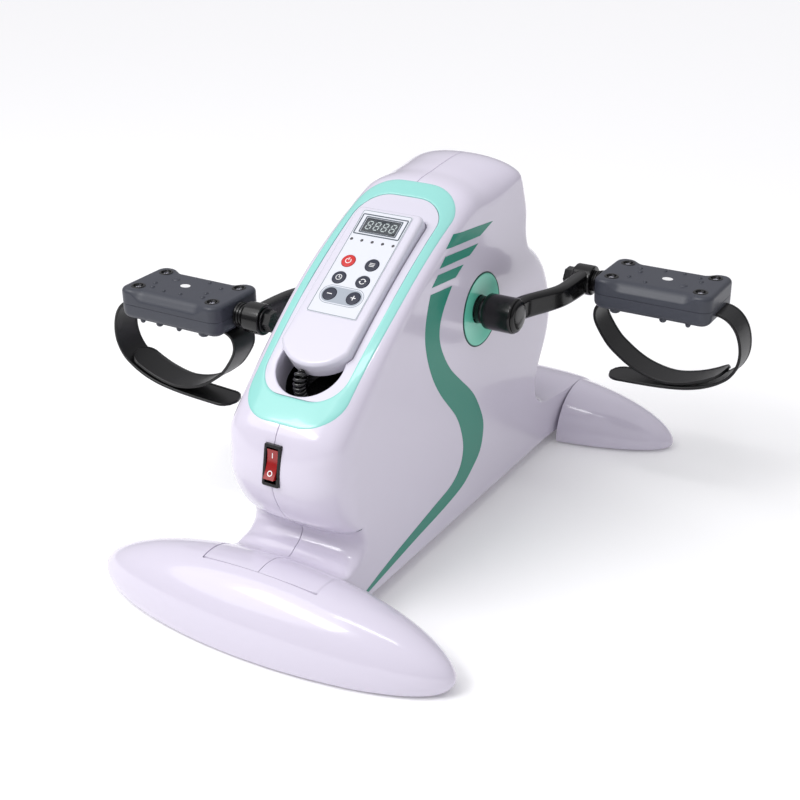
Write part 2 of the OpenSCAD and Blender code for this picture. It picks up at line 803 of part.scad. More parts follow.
module pedal_lower() {
  difference() {
    union() {
      difference() {
        translate([0, 0, -12]) linear_extrude(12 + part_z) rounded_box_2d(pedal_l / 2, pedal_w / 2, 9);
        translate([0, 0, -9.5])
          linear_extrude(20) rounded_box_2d(pedal_l / 2 - 2.5, pedal_w / 2 - 2.5, 7);
      }
      translate([-pedal_l / 2, 0, 0]) rotate([0, 90, 0]) cylinder(r = 9, h = pedal_l / 2 + 39);
      pedal_bosses(-10, part_z, 5);
    }
    translate([-60, 0, 0]) rotate([0, 90, 0]) cylinder(r = 6 + clear, h = 110);
    pedal_bosses(-8, 5, 1.75);
    translate([44, -strap_w / 2 - 0.4, -6.4]) cube([10, strap_w + 0.8, 4]);
  }
}

module pedal_upper_right() {
  color(slate) on_pedal(1) pedal_upper();
}

module pedal_upper_left() {
  color(slate) on_pedal(-1) pedal_upper();
}

module pedal_lower_right() {
  color(slate) on_pedal(1) pedal_lower();
}

module pedal_lower_left() {
  color(slate) on_pedal(-1) pedal_lower();
}

module pedal_screws() {
  pedal_bosses(10.5, 12.6, 3.4);
  pedal_bosses(-6, 11, 1.7);
}

module pedal_screws_right() {
  color(steel) on_pedal(1) pedal_screws();
}

module pedal_screws_left() {
  color(steel) on_pedal(-1) pedal_screws();
}

// Strap routes in the pedal's x, z plane: the outer ply with its free tail, and the inner ply
strap_outer = [
  [45, -4.4], [52, -4.6], [60, -8], [67, -16], [71, -28], [70.8, -42], [64, -55.5],
  [49, -66], [30.5, -72.4], [8, -75.6], [-16, -77], [-42, -78]
];
strap_inner = [
  [-36, -13.7], [-45, -14.2], [-50.5, -17.5], [-52.2, -24], [-49.3, -33], [-40, -46.5],
  [-31, -54.5], [-19, -62.5], [-5, -68.2], [13.8, -70.8], [35, -66.2], [52, -58.4], [60, -52.5]
];

function open_halfway(p, i) = let (n = len(p)) (
  9 * (p[i] + p[i + 1]) - p[max(i - 1, 0)] - p[min(i + 2, n - 1)]
) / 16;
function open_smooth(p) = concat(
  [for (i = [0 : len(p) - 2]) each [p[i], open_halfway(p, i)]], [p[len(p) - 1]]
);

module ribbon(route) {
  p = open_smooth(route);
  n = len(p);
  side = [for (i = [0 : n - 1]) let (
    d = p[min(i + 1, n - 1)] - p[max(i - 1, 0)]
  ) [-d[1], d[0]] / norm(d) * strap_t / 2];
  translate([0, strap_w / 2, 0]) rotate([90, 0, 0]) linear_extrude(strap_w) polygon(concat(
    [for (i = [0 : n - 1]) p[i] + side[i]], [for (i = [n - 1 : -1 : 0]) p[i] - side[i]]
  ));
}

module pedal_strap_right() {
  color(rubber_black) on_pedal(1) {
    ribbon(strap_outer);
    ribbon(strap_inner);
  }
}

module pedal_strap_left() {
  color(rubber_black) on_pedal(-1) {
    ribbon(strap_outer);
    ribbon(strap_inner);
  }
}

// ---------------------------------------------------------------- handset
handset_z = [-3.2, 4, 11.5];
button_at = [[-10.2, 137.4], [10.2, 137.4], [-10.2, 121.7], [10.2, 121.7], [-10.2, 106.3], [10.2, 106.3]];
led_x = [-18, -9, 0, 9, 18];
led_s = 157.5;
window_s = 172.5;

module window_2d(grow) {
  translate([0, window_s]) square([29.4 + 2 * grow, 13 + 2 * grow], center = true);
}

module handset_holes(from) {
  for (p = button_at) translate([p[0], p[1], from]) cylinder(r = button_d / 2 + 0.3, h = 20);
  for (x = led_x) translate([x, led_s, from]) cylinder(r = 1.3, h = 20);
  translate([0, 0, from]) linear_extrude(20) window_2d(0.1);
}

module handset_back() {
  color(white) on_console() difference() {
    translate([0, 0, handset_z[0]]) linear_extrude(7.1) handset_outline(0);
    translate([0, 0, handset_z[0] + 2]) linear_extrude(20) handset_outline(-2.2);
  }
}

module handset_front() {
  color(white) on_console() difference() {
    translate([0, 0, handset_z[1]]) linear_extrude(7.5) handset_outline(0);
    translate([0, 0, handset_z[1] - 1]) linear_extrude(6.5) handset_outline(-2.2);
    handset_holes(0);
  }
}

module handset_membrane() {
  color([0.93, 0.93, 0.94]) on_console() difference() {
    translate([0, 137.25, handset_z[2] + 0.02]) linear_extrude(0.4) rounded_box_2d(21.5, 48.75, 1.5);
    handset_holes(0);
  }
}

module display_lenses() {
  color([0.15, 0.16, 0.18]) on_console() translate([0, 0, 9.6]) linear_extrude(2) window_2d(0);
  color(red) on_console() for (x = led_x) translate([x, led_s, 9.7]) cylinder(r = 1.2, h = 2.3);
}

module handset_board() {
  color(board_green) on_console() {
    translate([0, 0, -0.4]) linear_extrude(1.6) intersection() {
      handset_outline(-3.5);
      translate([-40, 92]) square([80, 100]);
    }
    translate([-14, window_s - 6, 1.1]) cube([28, 12, 8.2]);
    for (p = button_at) translate([p[0] - 3, p[1] - 3, 1.1]) cube([6, 6, 4]);
    for (x = led_x) translate([x, led_s, 1.1]) cylinder(r = 1.2, h = 8.2);
    for (x = [-20, 20]) translate([x, 112, -1.1]) cylinder(r = 2, h = 1);
  }
}

module button(i) {
  color(i == 0 ? red : navy) on_console() translate([button_at[i][0], button_at[i][1], 0]) {
    translate([0, 0, 8.3]) cylinder(r = button_d / 2, h = 4.1);
    translate([0, 0, 8.3]) cylinder(r = 6.6, h = 0.9);
    translate([0, 0, 6.3]) cylinder(r = 1.8, h = 3);
  }
}

module button_power() {
  button(0);
}

module button_mode() {
  button(1);
}

module button_timer() {
  button(2);
}

module button_direction() {
  button(3);
}

module button_minus() {
  button(4);
}

module button_plus() {
  button(5);
}

housing_left();
housing_right();
console_bezel();
console_panel();
front_foot_shell();
rear_foot_left();
rear_foot_right();
rubber_feet();
housing_screws();
front_cross_tube();
rear_cross_tube();
frame_spine();
frame_plate_left();
frame_plate_right();
frame_tie_rods();
shaft_bearings();
disc_cover_left();
disc_cover_right();
switch_bezel();
power_inlet();
motor_body();
motor_bracket();
drive_belt();
power_supply();
control_board();
cord_grommet();
handset_cord();
crank_shaft();
crank_gear();
crank_arm_left();
crank_arm_right();
shaft_collars();
hub_caps();
pedal_spindle_left();
pedal_spindle_right();
pedal_nuts();
idler_shaft();
idler_pulley();
idler_pinion();
motor_rotor();
pedal_upper_left();
pedal_upper_right();
pedal_lower_left();
pedal_lower_right();
pedal_strap_left();
pedal_strap_right();
pedal_screws_left();
pedal_screws_right();
switch_rocker();
handset_front();
handset_back();
handset_membrane();
display_lenses();
handset_board();
button_power();
button_mode();
button_timer();
button_direction();
button_minus();
button_plus();
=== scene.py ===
import math

import bmesh
import bpy
from mathutils import Matrix, Vector
from mathutils.bvhtree import BVHTree
from mathutils.geometry import delaunay_2d_cdt


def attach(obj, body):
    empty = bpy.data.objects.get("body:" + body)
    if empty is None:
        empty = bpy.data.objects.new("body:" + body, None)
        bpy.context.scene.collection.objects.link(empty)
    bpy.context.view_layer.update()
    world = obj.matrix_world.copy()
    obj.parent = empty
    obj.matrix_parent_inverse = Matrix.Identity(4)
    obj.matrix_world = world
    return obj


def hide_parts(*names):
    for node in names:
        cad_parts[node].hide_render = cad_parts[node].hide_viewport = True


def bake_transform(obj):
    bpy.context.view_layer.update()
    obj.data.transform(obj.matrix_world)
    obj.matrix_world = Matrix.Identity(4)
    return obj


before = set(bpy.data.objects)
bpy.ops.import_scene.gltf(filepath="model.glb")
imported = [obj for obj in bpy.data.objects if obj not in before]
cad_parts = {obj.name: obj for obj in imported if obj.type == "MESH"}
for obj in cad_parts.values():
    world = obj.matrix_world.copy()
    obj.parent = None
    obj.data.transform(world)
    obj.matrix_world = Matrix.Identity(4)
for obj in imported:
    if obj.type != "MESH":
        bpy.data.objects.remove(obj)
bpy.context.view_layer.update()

scene = bpy.context.scene

# ---------------- camera
azimuth, elevation, roll = (math.radians(a) for a in (31.4865, 25.6807, -1.0366))
back = Vector((
    math.sin(azimuth) * math.cos(elevation),
    -math.cos(azimuth) * math.cos(elevation),
    math.sin(elevation),
))
level = Vector((math.cos(azimuth), math.sin(azimuth), 0))
above = back.cross(level)
right = level * math.cos(roll) + above * math.sin(roll)
top = above * math.cos(roll) - level * math.sin(roll)
lens = bpy.data.cameras.new("camera")
lens.sensor_width = 36
lens.lens = 61.9956
camera = bpy.data.objects.new("camera", lens)
camera.matrix_world = Matrix.Translation((0.5201, -0.8709, 0.5875)) @ Matrix(
    (right, top, back)
).transposed().to_4x4()
scene.collection.objects.link(camera)
scene.camera = camera


# ---------------- materials
def linear(c):
    """Linear colour from the usual display values."""
    return tuple(v / 12.92 if v <= 0.04045 else ((v + 0.055) / 1.055) ** 2.4 for v in c)


FINISH = {}


def material(
    name, colour, rough, metal=0.0, coat=0.0, grain=0.0, size=900.0, spread=0.12, mottle=0.03, shine=0.5,
):
    """A procedural finish: fine noise varies its colour and roughness and gives it a grain."""
    m = bpy.data.materials.new(name)
    m.use_nodes = True
    nodes, links = m.node_tree.nodes, m.node_tree.links
    shader = nodes["Principled BSDF"]
    shader.inputs["Metallic"].default_value = metal
    shader.inputs["Specular IOR Level"].default_value = shine
    shader.inputs["Coat Weight"].default_value = coat
    shader.inputs["Coat Roughness"].default_value = 0.04
    place = nodes.new("ShaderNodeTexCoord")
    noise = nodes.new("ShaderNodeTexNoise")
    noise.inputs["Scale"].default_value = size
    noise.inputs["Detail"].default_value = 3
    links.new(place.outputs["Object"], noise.inputs["Vector"])
    wear = nodes.new("ShaderNodeMapRange")
    wear.inputs["To Min"].default_value = rough * (1 - spread)
    wear.inputs["To Max"].default_value = rough * (1 + spread)
    links.new(noise.outputs["Fac"], wear.inputs["Value"])
    links.new(wear.outputs["Result"], shader.inputs["Roughness"])
    broad = nodes.new("ShaderNodeTexNoise")
    broad.inputs["Scale"].default_value = 14
    links.new(place.outputs["Object"], broad.inputs["Vector"])
    ramp = nodes.new("ShaderNodeValToRGB")
    base = linear(colour)
    ramp.color_ramp.elements[0].color = (*(v * (1 - mottle) for v in base), 1)
    ramp.color_ramp.elements[1].color = (*(min(1, v * (1 + mottle)) for v in base), 1)
    links.new(broad.outputs["Fac"], ramp.inputs["Fac"])
    links.new(ramp.outputs["Color"], shader.inputs["Base Color"])
    if grain:
        bump = nodes.new("ShaderNodeBump")
        bump.inputs["Strength"].default_value = grain
        bump.inputs["Distance"].default_value = 0.0002
        links.new(noise.outputs["Fac"], bump.inputs["Height"])
        links.new(bump.outputs["Normal"], shader.inputs["Normal"])
    FINISH[name] = m
    return m


material("shell_white", (0.84, 0.817, 0.877), 0.17, coat=0.5, mottle=0.008)
material("panel_white", (0.832, 0.82, 0.87), 0.2, coat=0.3, mottle=0.008)
material("ring_aqua", (0.565, 0.83, 0.80), 0.2, coat=0.4, mottle=0.01)
material("disc_mint", (0.42, 0.84, 0.73), 0.32, coat=0.2)
material("stripe_green", (0.09, 0.52, 0.44), 0.35, coat=0.1, mottle=0.02)
# Painted shade: a dark copy of the disc's mint, for the shade in the gap round each disc
material("rim_shade_green", (0.06, 0.34, 0.28), 0.4)
material("black_plastic", (0.05, 0.05, 0.055), 0.28, coat=0.1, shine=0.35)
material("rocker_red", (0.58, 0.03, 0.03), 0.2, coat=0.4)
material("pad_rubber", (0.09, 0.09, 0.10), 0.8, grain=0.4)
material("strap_rubber", (0.06, 0.06, 0.065), 0.36, shine=0.35, grain=0.25, size=1500)
material("cord_black", (0.04, 0.04, 0.045), 0.16, coat=0.6)
material("pedal_slate", (0.235, 0.245, 0.28), 0.38, shine=0.4, grain=0.10, size=1800)
material("crank_black", (0.03, 0.03, 0.033), 0.2, coat=0.15, shine=0.35)
material("bare_steel", (0.62, 0.63, 0.65), 0.3, metal=1.0)
material("screw_chrome", (0.90, 0.90, 0.92), 0.2, metal=1.0)
material("frame_paint", (0.16, 0.17, 0.18), 0.5, grain=0.2)
material("gear_nylon", (0.88, 0.85, 0.76), 0.45)
material("motor_steel", (0.55, 0.56, 0.58), 0.4, metal=1.0)
material("case_aluminium", (0.72, 0.73, 0.74), 0.38, metal=1.0)
material("board_green", (0.10, 0.35, 0.20), 0.4, mottle=0.1)
material("membrane_white", (0.85, 0.86, 0.89), 0.38, mottle=0.006)
material("lens_dark", (0.24, 0.26, 0.28), 0.22, coat=0.3)
material("button_navy", (0.10, 0.12, 0.20), 0.35)
material("button_red", (0.78, 0.10, 0.10), 0.3)
material("line_grey", (0.50, 0.54, 0.57), 0.5)
# Dark lines: print round the display, and painted shade in the chin's crease
material("dark_print_and_crease_shade", (0.24, 0.29, 0.33), 0.5)
material("icon_white", (0.93, 0.93, 0.93), 0.45)
material("pill_grey", (0.63, 0.66, 0.70), 0.45)
material("digit_grey", (0.74, 0.78, 0.78), 0.4)
material("lamp_dark", (0.22, 0.20, 0.22), 0.25, coat=0.3)

# Pieces inside, behind or underneath keep the solid's mesh and only get a finish
INNER = {
    "pad_rubber": ["rubber_feet"],
    "screw_chrome": ["housing_screws"],
    "frame_paint": [
        "front_cross_tube", "rear_cross_tube", "frame_spine", "frame_plate_left",
        "frame_plate_right", "motor_bracket", "idler_pulley",
    ],
    "bare_steel": [
        "frame_tie_rods", "shaft_bearings", "crank_shaft", "idler_shaft", "idler_pinion", "motor_rotor",
    ],
    "black_plastic": ["power_inlet", "cord_grommet"],
    "motor_steel": ["motor_body"],
    "strap_rubber": ["drive_belt"],
    "case_aluminium": ["power_supply"],
    "board_green": ["control_board", "handset_board"],
    "gear_nylon": ["crank_gear"],
}
for finish, names in INNER.items():
    for name in names:
        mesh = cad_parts[name].data
        mesh.materials.clear()
        mesh.materials.append(FINISH[finish])
        mesh.polygons.foreach_set("material_index", [0] * len(mesh.polygons))


# ---------------- places, in millimetres
SIDES = ((1, "right"), (-1, "left"))
SLOPE = math.radians(32.7)
CRANK_Y, CRANK_Z = 21.5, 181.3
ARM_LENGTH, PEDAL_X = 100, 161.3
SHELL_HALF = 50
CONSOLE_L, CONSOLE_BULGE = 229, 6.5
CONSOLE_Y, CONSOLE_Z = -183.1, 157.4
SWITCH_Y, SWITCH_Z = -194.2, 130.5
WELL_S, WELL_R = 51, 27
FRONT_FOOT_Y, REAR_FOOT_Y = -208.4, 204.5
FOOT_POWER = 0.575


def console(x, s, h):
    """A place on the console: across, up its slope, and square out of it."""
    return (
        x,
        CONSOLE_Y + s * math.cos(SLOPE) - h * math.sin(SLOPE),
        CONSOLE_Z + s * math.sin(SLOPE) + h * math.cos(SLOPE),
    )


def console_at(x, s):
    """Places measured from a point on the console."""
    return lambda a, b, h: console(x + a, s + b, h)


def switch(x, u, w):
    """A place at the power switch: across, up its face, and square out of it."""
    a = math.radians(78)
    return (x, SWITCH_Y + u * math.cos(a) - w * math.sin(a), SWITCH_Z + u * math.sin(a) + w * math.cos(a))


def at_crank(side):
    return lambda x, y, z: (side * x, CRANK_Y + side * y, CRANK_Z + z)


def at_pedal(side):
    return lambda x, y, z: (side * (PEDAL_X + x), CRANK_Y + side * (ARM_LENGTH + y), CRANK_Z + z)


def pedal_at(side, x, y):
    """Places measured from a point on a pedal."""
    place = at_pedal(side)
    return lambda a, b, h: place(x + a, y + b, h)


def axle(place):
    """Rings drawn in the first two axes stand across the crank's axis."""
    return lambda y, z, x: place(x, y, z)


# ---------------- outlines
def circle(x, y, r, n=48):
    return [(x + r * math.cos(2 * math.pi * k / n), y + r * math.sin(2 * math.pi * k / n)) for k in range(n)]


def rounded_box(x, y, half_x, half_y, r, arc=8, line=6):
    points = []
    for cx, cy, start in ((1, 1, 0), (-1, 1, 90), (-1, -1, 180), (1, -1, 270)):
        for k in range(arc + 1):
            a = math.radians(start + 90 * k / arc)
            points.append((
                x + cx * (half_x - r) + r * math.cos(a),
                y + cy * (half_y - r) + r * math.sin(a),
            ))
        p = points[-1]
        q = {0: (x - half_x + r, y + half_y), 90: (x - half_x, y - half_y + r),
             180: (x + half_x - r, y - half_y), 270: (x + half_x, y + half_y - r)}[start]
        points += [(p[0] + (q[0] - p[0]) * k / line, p[1] + (q[1] - p[1]) * k / line) for k in range(1, line)]
    return points


def bar(half_x, half_y, y=0.0):
    return [(-half_x, y - half_y), (half_x, y - half_y), (half_x, y + half_y), (-half_x, y + half_y)]


def grow(loop, d):
    """A loop moved outwards by d."""
    if not d:
        return list(loop)
    n = len(loop)
    made = []
    for i, (x, y) in enumerate(loop):
        px, py = loop[i - 1]
        qx, qy = loop[(i + 1) % n]
        tx, ty = qx - px, qy - py
        size = math.hypot(tx, ty) or 1
        made.append((x + ty / size * d, y - tx / size * d))
    return made


def inside(x, y, loop):
    odd = False
    px, py = loop[-1]
    for qx, qy in loop:
        if (py > y) != (qy > y) and x < (qx - px) * (y - py) / (qy - py) + px:
            odd = not odd
        px, py = qx, qy
    return odd


def fill(outline, holes=(), extra=()):
    """Triangles that cover an outline and leave its holes open."""
    points, edges = [], []
    for loop in (outline, *holes):
        first = len(points)
        points += [Vector(p) for p in loop]
        edges += [(first + i, first + (i + 1) % len(loop)) for i in range(len(loop))]
    points += [Vector(p) for p in extra]
    made = delaunay_2d_cdt(points, edges, [], 0, 1e-6)
    kept = []
    for t in made[2]:
        x = sum(made[0][i][0] for i in t) / 3
        y = sum(made[0][i][1] for i in t) / 3
        if inside(x, y, outline) and not any(inside(x, y, h) for h in holes):
            kept.append(tuple(t))
    return [tuple(p) for p in made[0]], kept


def grid_in(loop, pitch, margin=0.0, holes=()):
    """Points on a square grid, inside a loop."""
    shrunk = grow(loop, -margin) if margin else loop
    xs, ys = [p[0] for p in loop], [p[1] for p in loop]
    points = []
    for i in range(int((max(xs) - min(xs)) / pitch) + 1):
        for j in range(int((max(ys) - min(ys)) / pitch) + 1):
            x, y = min(xs) + (i + 0.5) * pitch, min(ys) + (j + 0.5) * pitch
            if inside(x, y, shrunk) and not any(inside(x, y, h) for h in holes):
                points.append((x, y))
    return points


def refine(p, times, closed=False):
    """A smooth curve through its points. Each time, a new point goes halfway along each span."""
    for _ in range(times):
        ends = [p[-1], *p, p[0], p[1]] if closed else [p[0], *p, p[-1]]
        made = []
        for a, b, c, d in zip(ends, ends[1:], ends[2:], ends[3:]):
            made += [tuple(b), tuple((9 * (u + v) - s - t) / 16 for s, u, v, t in zip(a, b, c, d))]
        p = made if closed else made + [tuple(p[-1])]
    return p


# ---------------- mesh building
class Shape:
    """A mesh made of rings, bands and lids, in millimetres."""

    def __init__(self, place=None):
        self.points, self.faces = [], []
        self.place = place or (lambda x, y, z: (x, y, z))

    def ring(self, points):
        first = len(self.points)
        self.points += [self.place(*p) for p in points]
        return list(range(first, len(self.points)))

    def loft(self, rings, closed=True):
        made = [self.ring(r) for r in rings]
        for a, b in zip(made, made[1:]):
            n = len(a)
            for i in range(n if closed else n - 1):
                j = (i + 1) % n
                self.faces.append((a[i], a[j], b[j], b[i]))
        return made

    def rod(self, rings):
        """Rings joined in a row, with both ends closed."""
        made = self.loft(rings)
        self.faces += [tuple(made[0]), tuple(made[-1])]

    def lid(self, outline, holes, height, extra=()):
        points, triangles = fill(outline, holes, extra)
        first = len(self.points)
        for x, y in points:
            self.points.append(self.place(x, y, height(x, y) if callable(height) else height))
        self.faces += [tuple(first + i for i in t) for t in triangles]

    def solid(self, outline, bottom, top, top_r=0.0, bottom_r=0.0, holes=(), hole_r=0.0, steps=4, extra=()):
        """An outline between two heights, with rounded edges and any holes."""
        lids = [[], []]
        for loop, out, upper, lower in [(outline, 1, top_r, bottom_r), *((h, -1, hole_r, 0) for h in holes)]:
            rings = []
            for k in range(steps + 1) if upper else [steps]:
                a = math.pi / 2 * k / steps
                inset = -out * upper * (1 - math.sin(a))
                rings.append((grow(loop, inset), top - upper * (1 - math.cos(a))))
            for k in range(steps + 1) if lower else [0]:
                a = math.pi / 2 * k / steps
                inset = -out * lower * (1 - math.cos(a))
                rings.append((grow(loop, inset), bottom + lower * (1 - math.sin(a))))
            self.loft([[(x, y, z) for x, y in flat] for flat, z in rings])
            lids[0].append(rings[0][0])
            lids[1].append(rings[-1][0])
        self.lid(lids[0][0], lids[0][1:], top, extra)
        self.lid(lids[1][0], lids[1][1:], bottom)

    def turn(self, profile, n=64, closed=False):
        """A profile of radius and height turned round its axis."""
        rings = [
            [(r * math.cos(2 * math.pi * k / n), r * math.sin(2 * math.pi * k / n), h) for k in range(n)]
            for r, h in profile
        ]
        self.loft(rings + rings[:1] if closed else rings)

    def mesh(self, name):
        mesh = bpy.data.meshes.new(name)
        mesh.from_pydata([tuple(c * 0.001 for c in p) for p in self.points], [], self.faces)
        work = bmesh.new()
        work.from_mesh(mesh)
        bmesh.ops.remove_doubles(work, verts=work.verts, dist=2e-6)
        bmesh.ops.recalc_face_normals(work, faces=work.faces)
        work.to_mesh(mesh)
        work.free()
        return mesh


def applied(obj):
    """Turns an object's modifiers into mesh."""
    mesh = bpy.data.meshes.new_from_object(obj.evaluated_get(bpy.context.evaluated_depsgraph_get()))
    obj.modifiers.clear()
    obj.data = mesh


def piece(shape, name, body, finish, replaces=(), angle=38, level=True, cut=None, thick=0.0):
    """Puts a shape in the scene, on its body, with its finish."""
    mesh = shape if isinstance(shape, bpy.types.Mesh) else shape.mesh(name)
    obj = bpy.data.objects.new(name, mesh)
    scene.collection.objects.link(obj)
    if thick:
        skin = obj.modifiers.new("thick", "SOLIDIFY")
        skin.thickness = thick * 0.001
        skin.offset = -1
    if cut:
        tool = bpy.data.objects.new(name + "_cut", cut.mesh(name + "_cut"))
        scene.collection.objects.link(tool)
        cutter = obj.modifiers.new("cut", "BOOLEAN")
        cutter.operation = "DIFFERENCE"
        cutter.solver = "MANIFOLD"
        cutter.object = tool
    if thick or cut:
        bpy.context.view_layer.update()
        applied(obj)
    if cut:
        bpy.data.objects.remove(tool)
    obj.data.materials.clear()
    obj.data.materials.append(FINISH[finish])
    obj.data.shade_smooth()
    obj.data.set_sharp_from_angle(angle=math.radians(angle))
    if level:
        even = obj.modifiers.new("level", "WEIGHTED_NORMAL")
        even.keep_sharp = True
        bpy.context.view_layer.update()
        applied(obj)
    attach(obj, body)
    if replaces:
        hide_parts(*replaces)


# ---------------- housing
def console_height(s):
    """Height of the console's gentle arc above its chord."""
    half = CONSOLE_L / 2
    r = (half**2 + CONSOLE_BULGE**2) / (2 * CONSOLE_BULGE)
    return math.sqrt(r * r - (s - half) ** 2) - r + CONSOLE_BULGE


def console_control(s, depth, full):
    _, y, z = console(0, s, console_height(s))
    return (y, z, depth, full)


# Side view of the housing. Each point has y, z, and the depth and the fullness of the rounding there
CONTROL = [
    (-217, 40, 3, 2.2), (-218.6, 55.9, 2.9, 2.2), (-200, 56.4, 2.9, 2.2), (-181, 52.6, 6, 2.2),
    (-170, 54, 11, 2.3), (-163.8, 60, 14, 2.4), (-164.5, 66.4, 13, 2.6), (-180, 80, 24, 2.7),
    (-191, 97, 32, 2.8), (-196.5, 114.7, 34, 2.8), (-194.8, 131, 34, 2.8), (-190, 146, 28, 3.2),
    *(console_control(*p) for p in (
        (0, 27, 3.1), (25, 24, 3.3), (60, 20, 3.8), (95, 17.5, 4.4), (130, 16.5, 4.8), (165, 18, 4.2),
        (200, 20, 3.2), (229, 23, 2.6),
    )),
    (31, 283.8, 24, 2.25), (56, 286.4, 24, 2.1), (81, 286.8, 20, 2.15), (98, 278.7, 17, 2.4),
    (106.2, 257.5, 17, 2.8), (110.4, 239.5, 17, 3), (109.8, 224.5, 15, 2.8), (113.5, 211.5, 14, 2.8),
    (129, 200.2, 18, 3.2), (147.5, 183, 22, 3), (160.2, 160.5, 24, 2.8), (166, 139, 25, 2.6),
    (165.5, 119, 26, 2.5), (157, 102, 24, 2.5), (142, 86, 18, 2.6), (134, 70, 12, 2.6),
    (138, 57.5, 7, 2.4), (155, 50.5, 4, 2.2), (180, 48.6, 3.5, 2.2), (204.5, 48, 3.5, 2.2),
    (226, 43.5, 3.5, 2.2), (240.5, 33.5, 3.5, 2.2), (247.6, 20, 3.5, 2.2), (242, 11, 3, 2.2),
    (228, 7.8, 3, 2.2),
    (150, 8, 3, 3), (40, 9, 3, 3), (-70, 10, 3, 3), (-145, 11, 3, 3), (-164, 13, 3, 3),
    (-171, 24, 3, 3), (-180, 34, 3, 2.5), (-197, 38.5, 3, 2.2),
]
OUTLINE = refine(CONTROL, 3, closed=True)


def smoothstep(v, low, high):
    t = min(1, max(0, (v - low) / (high - low)))
    return t * t * (3 - 2 * t)


def flare(y, z):
    """How much wider the side is where it runs out over the rear foot."""
    return 0.085 * smoothstep(y, 150, 200) * smoothstep(-z, -75, -40)


# Half length, half depth, rise and middle height of the front foot
FRONT_FOOT = (154, 42, 45.6, 12)


def on_front_foot(x, y):
    """Height of the front foot's surface."""
    a, b, c, middle = FRONT_FOOT
    f = (1 - (x / a) ** 2) ** FOOT_POWER
    return middle + c * f * math.sqrt(max(0, 1 - ((y - FRONT_FOOT_Y) / (b * f)) ** 2))


# Places along the outline, which has eight points to a span and starts at the front of the tab
CREASE = 6 * 8
TAB_EDGE, TAB_END = 8, 4 * 8
TAB_Y, TAB_Z = -218.6, 40


def seated(x, y, lip):
    """Height of the tab that lies in the front foot, level with its surface."""
    return on_front_foot(x, y) - 0.1 - lip - 0.6 * smoothstep(x, 48.5, 50)


def skin_ring(turn, lip=0.0, x=None):
    """One ring of the housing's skin. turn goes from 0 at the middle plane to 1 at the side."""
    ring = []
    n = len(OUTLINE)
    for i, (y, z, depth, full) in enumerate(OUTLINE):
        py, pz = OUTLINE[i - 1][:2]
        qy, qz = OUTLINE[(i + 1) % n][:2]
        size = math.hypot(qy - py, qz - pz)
        u = math.sin(turn * math.pi / 2) ** (2 / full)
        d = lip + depth * (1 - (1 - min(1, u**full)) ** (1 / full))
        wide = SHELL_HALF * u if x is None else x
        if abs(i - CREASE) < 2:
            d += (2.4, 0.3)[abs(i - CREASE)] * smoothstep(wide, -4, 22)
        seat = smoothstep(-y, 172, 188) if TAB_EDGE <= i < TAB_END else 0
        y, z = y + (qz - pz) / size * d, z - (qy - py) / size * d
        if i < TAB_EDGE:
            y = max(y, TAB_Y)
            z = TAB_Z + (seated(wide, y, lip) - TAB_Z) * i / TAB_EDGE
        else:
            z += seat * (seated(wide, y, lip) - z)
        ring.append((wide * (1 + flare(y, z)), y, z))
    return ring


def housing_skin(side):
    """One half of the housing, from the seam to its flat side."""
    shape = Shape(lambda x, y, z: (side * x, y, z))
    rings = [skin_ring(0, 1.6, 0.18), skin_ring(0, 0.3, 0.18), skin_ring(0, 0, 0.5)]
    rings += [skin_ring(k / 22) for k in range(1, 23)]
    shape.loft(rings)
    edge = [(y, z) for _, y, z in rings[-1]]
    shape.place = lambda y, z, x: (side * x, y, z)
    shape.lid(edge, (), lambda y, z: SHELL_HALF * (1 + flare(y, z)), grid_in(edge, 9, 4))
    return shape


def housing_cut(side):
    """Openings for the console, the disc, the switch, the feet and the inlet."""
    cut = Shape(console)
    cut.solid(rounded_box(0, CONSOLE_L / 2, 40.5, 111.5, 28), -20, 30)
    cut.place = axle(lambda x, y, z: (side * x, y, z))
    cut.solid(circle(CRANK_Y, CRANK_Z, 30.2, 96), 40, 62)
    cut.place = switch
    cut.solid(rounded_box(0, 0, 7.3, 15.6, 1), -12, 20)
    cut.place = lambda x, y, z: (x, y, z)
    cut.solid(rounded_box(0, -150, 20.5, 62, 0.5), 13.5, 34.5)
    cut.solid(rounded_box(0, REAR_FOOT_Y, 70, 15.4, 0.5), 13.6, 34.4)
    cut.solid(rounded_box(0, 160, 14.2, 20, 0.5), 101.8, 122.2)
    return cut


skins = {side: housing_skin(side) for side in (-1, 1)}
work = bmesh.new()
work.from_mesh(skins[1].mesh("probe"))
probe = BVHTree.FromBMesh(work)
work.free()
for side, word in SIDES:
    piece(
        skins[side], "housing_" + word + "_shell", "base", "shell_white", ["housing_" + word], angle=50,
        thick=2.6, cut=housing_cut(side),
    )


# Painted shade: a thin dark tube in the crease between the chin and the neck, on the right half, stands in
# for the shade in that crease
crease_shade = Shape()
crease_shade.loft([
    [(x, y + dy, z + dz) for dy, dz in ((0.45, 0.45), (-0.45, 0.45), (-0.45, -0.45), (0.45, -0.45))]
    for x, y, z in (skin_ring(k / 44)[CREASE] for k in range(20, 38))
])
piece(crease_shade, "chin_crease_shade", "base", "dark_print_and_crease_shade", level=False)


def on_shell(start, direction):
    """The point where a line meets the housing, and the way out of it there."""
    flip = -1 if start[0] < 0 else 1
    origin = Vector((max(abs(start[0]), 0.6), start[1], start[2])) * 0.001
    way = Vector((flip * direction[0], direction[1], direction[2]))
    hit, normal, _, _ = probe.ray_cast(origin, way)
    if hit is None:
        return None, None
    if normal.dot(way) > 0:
        normal = -normal
    x = start[0] if abs(start[0]) < 0.6 else flip * hit.x * 1000
    return Vector((x, hit.y * 1000, hit.z * 1000)), Vector((flip * normal.x, normal.y, normal.z))


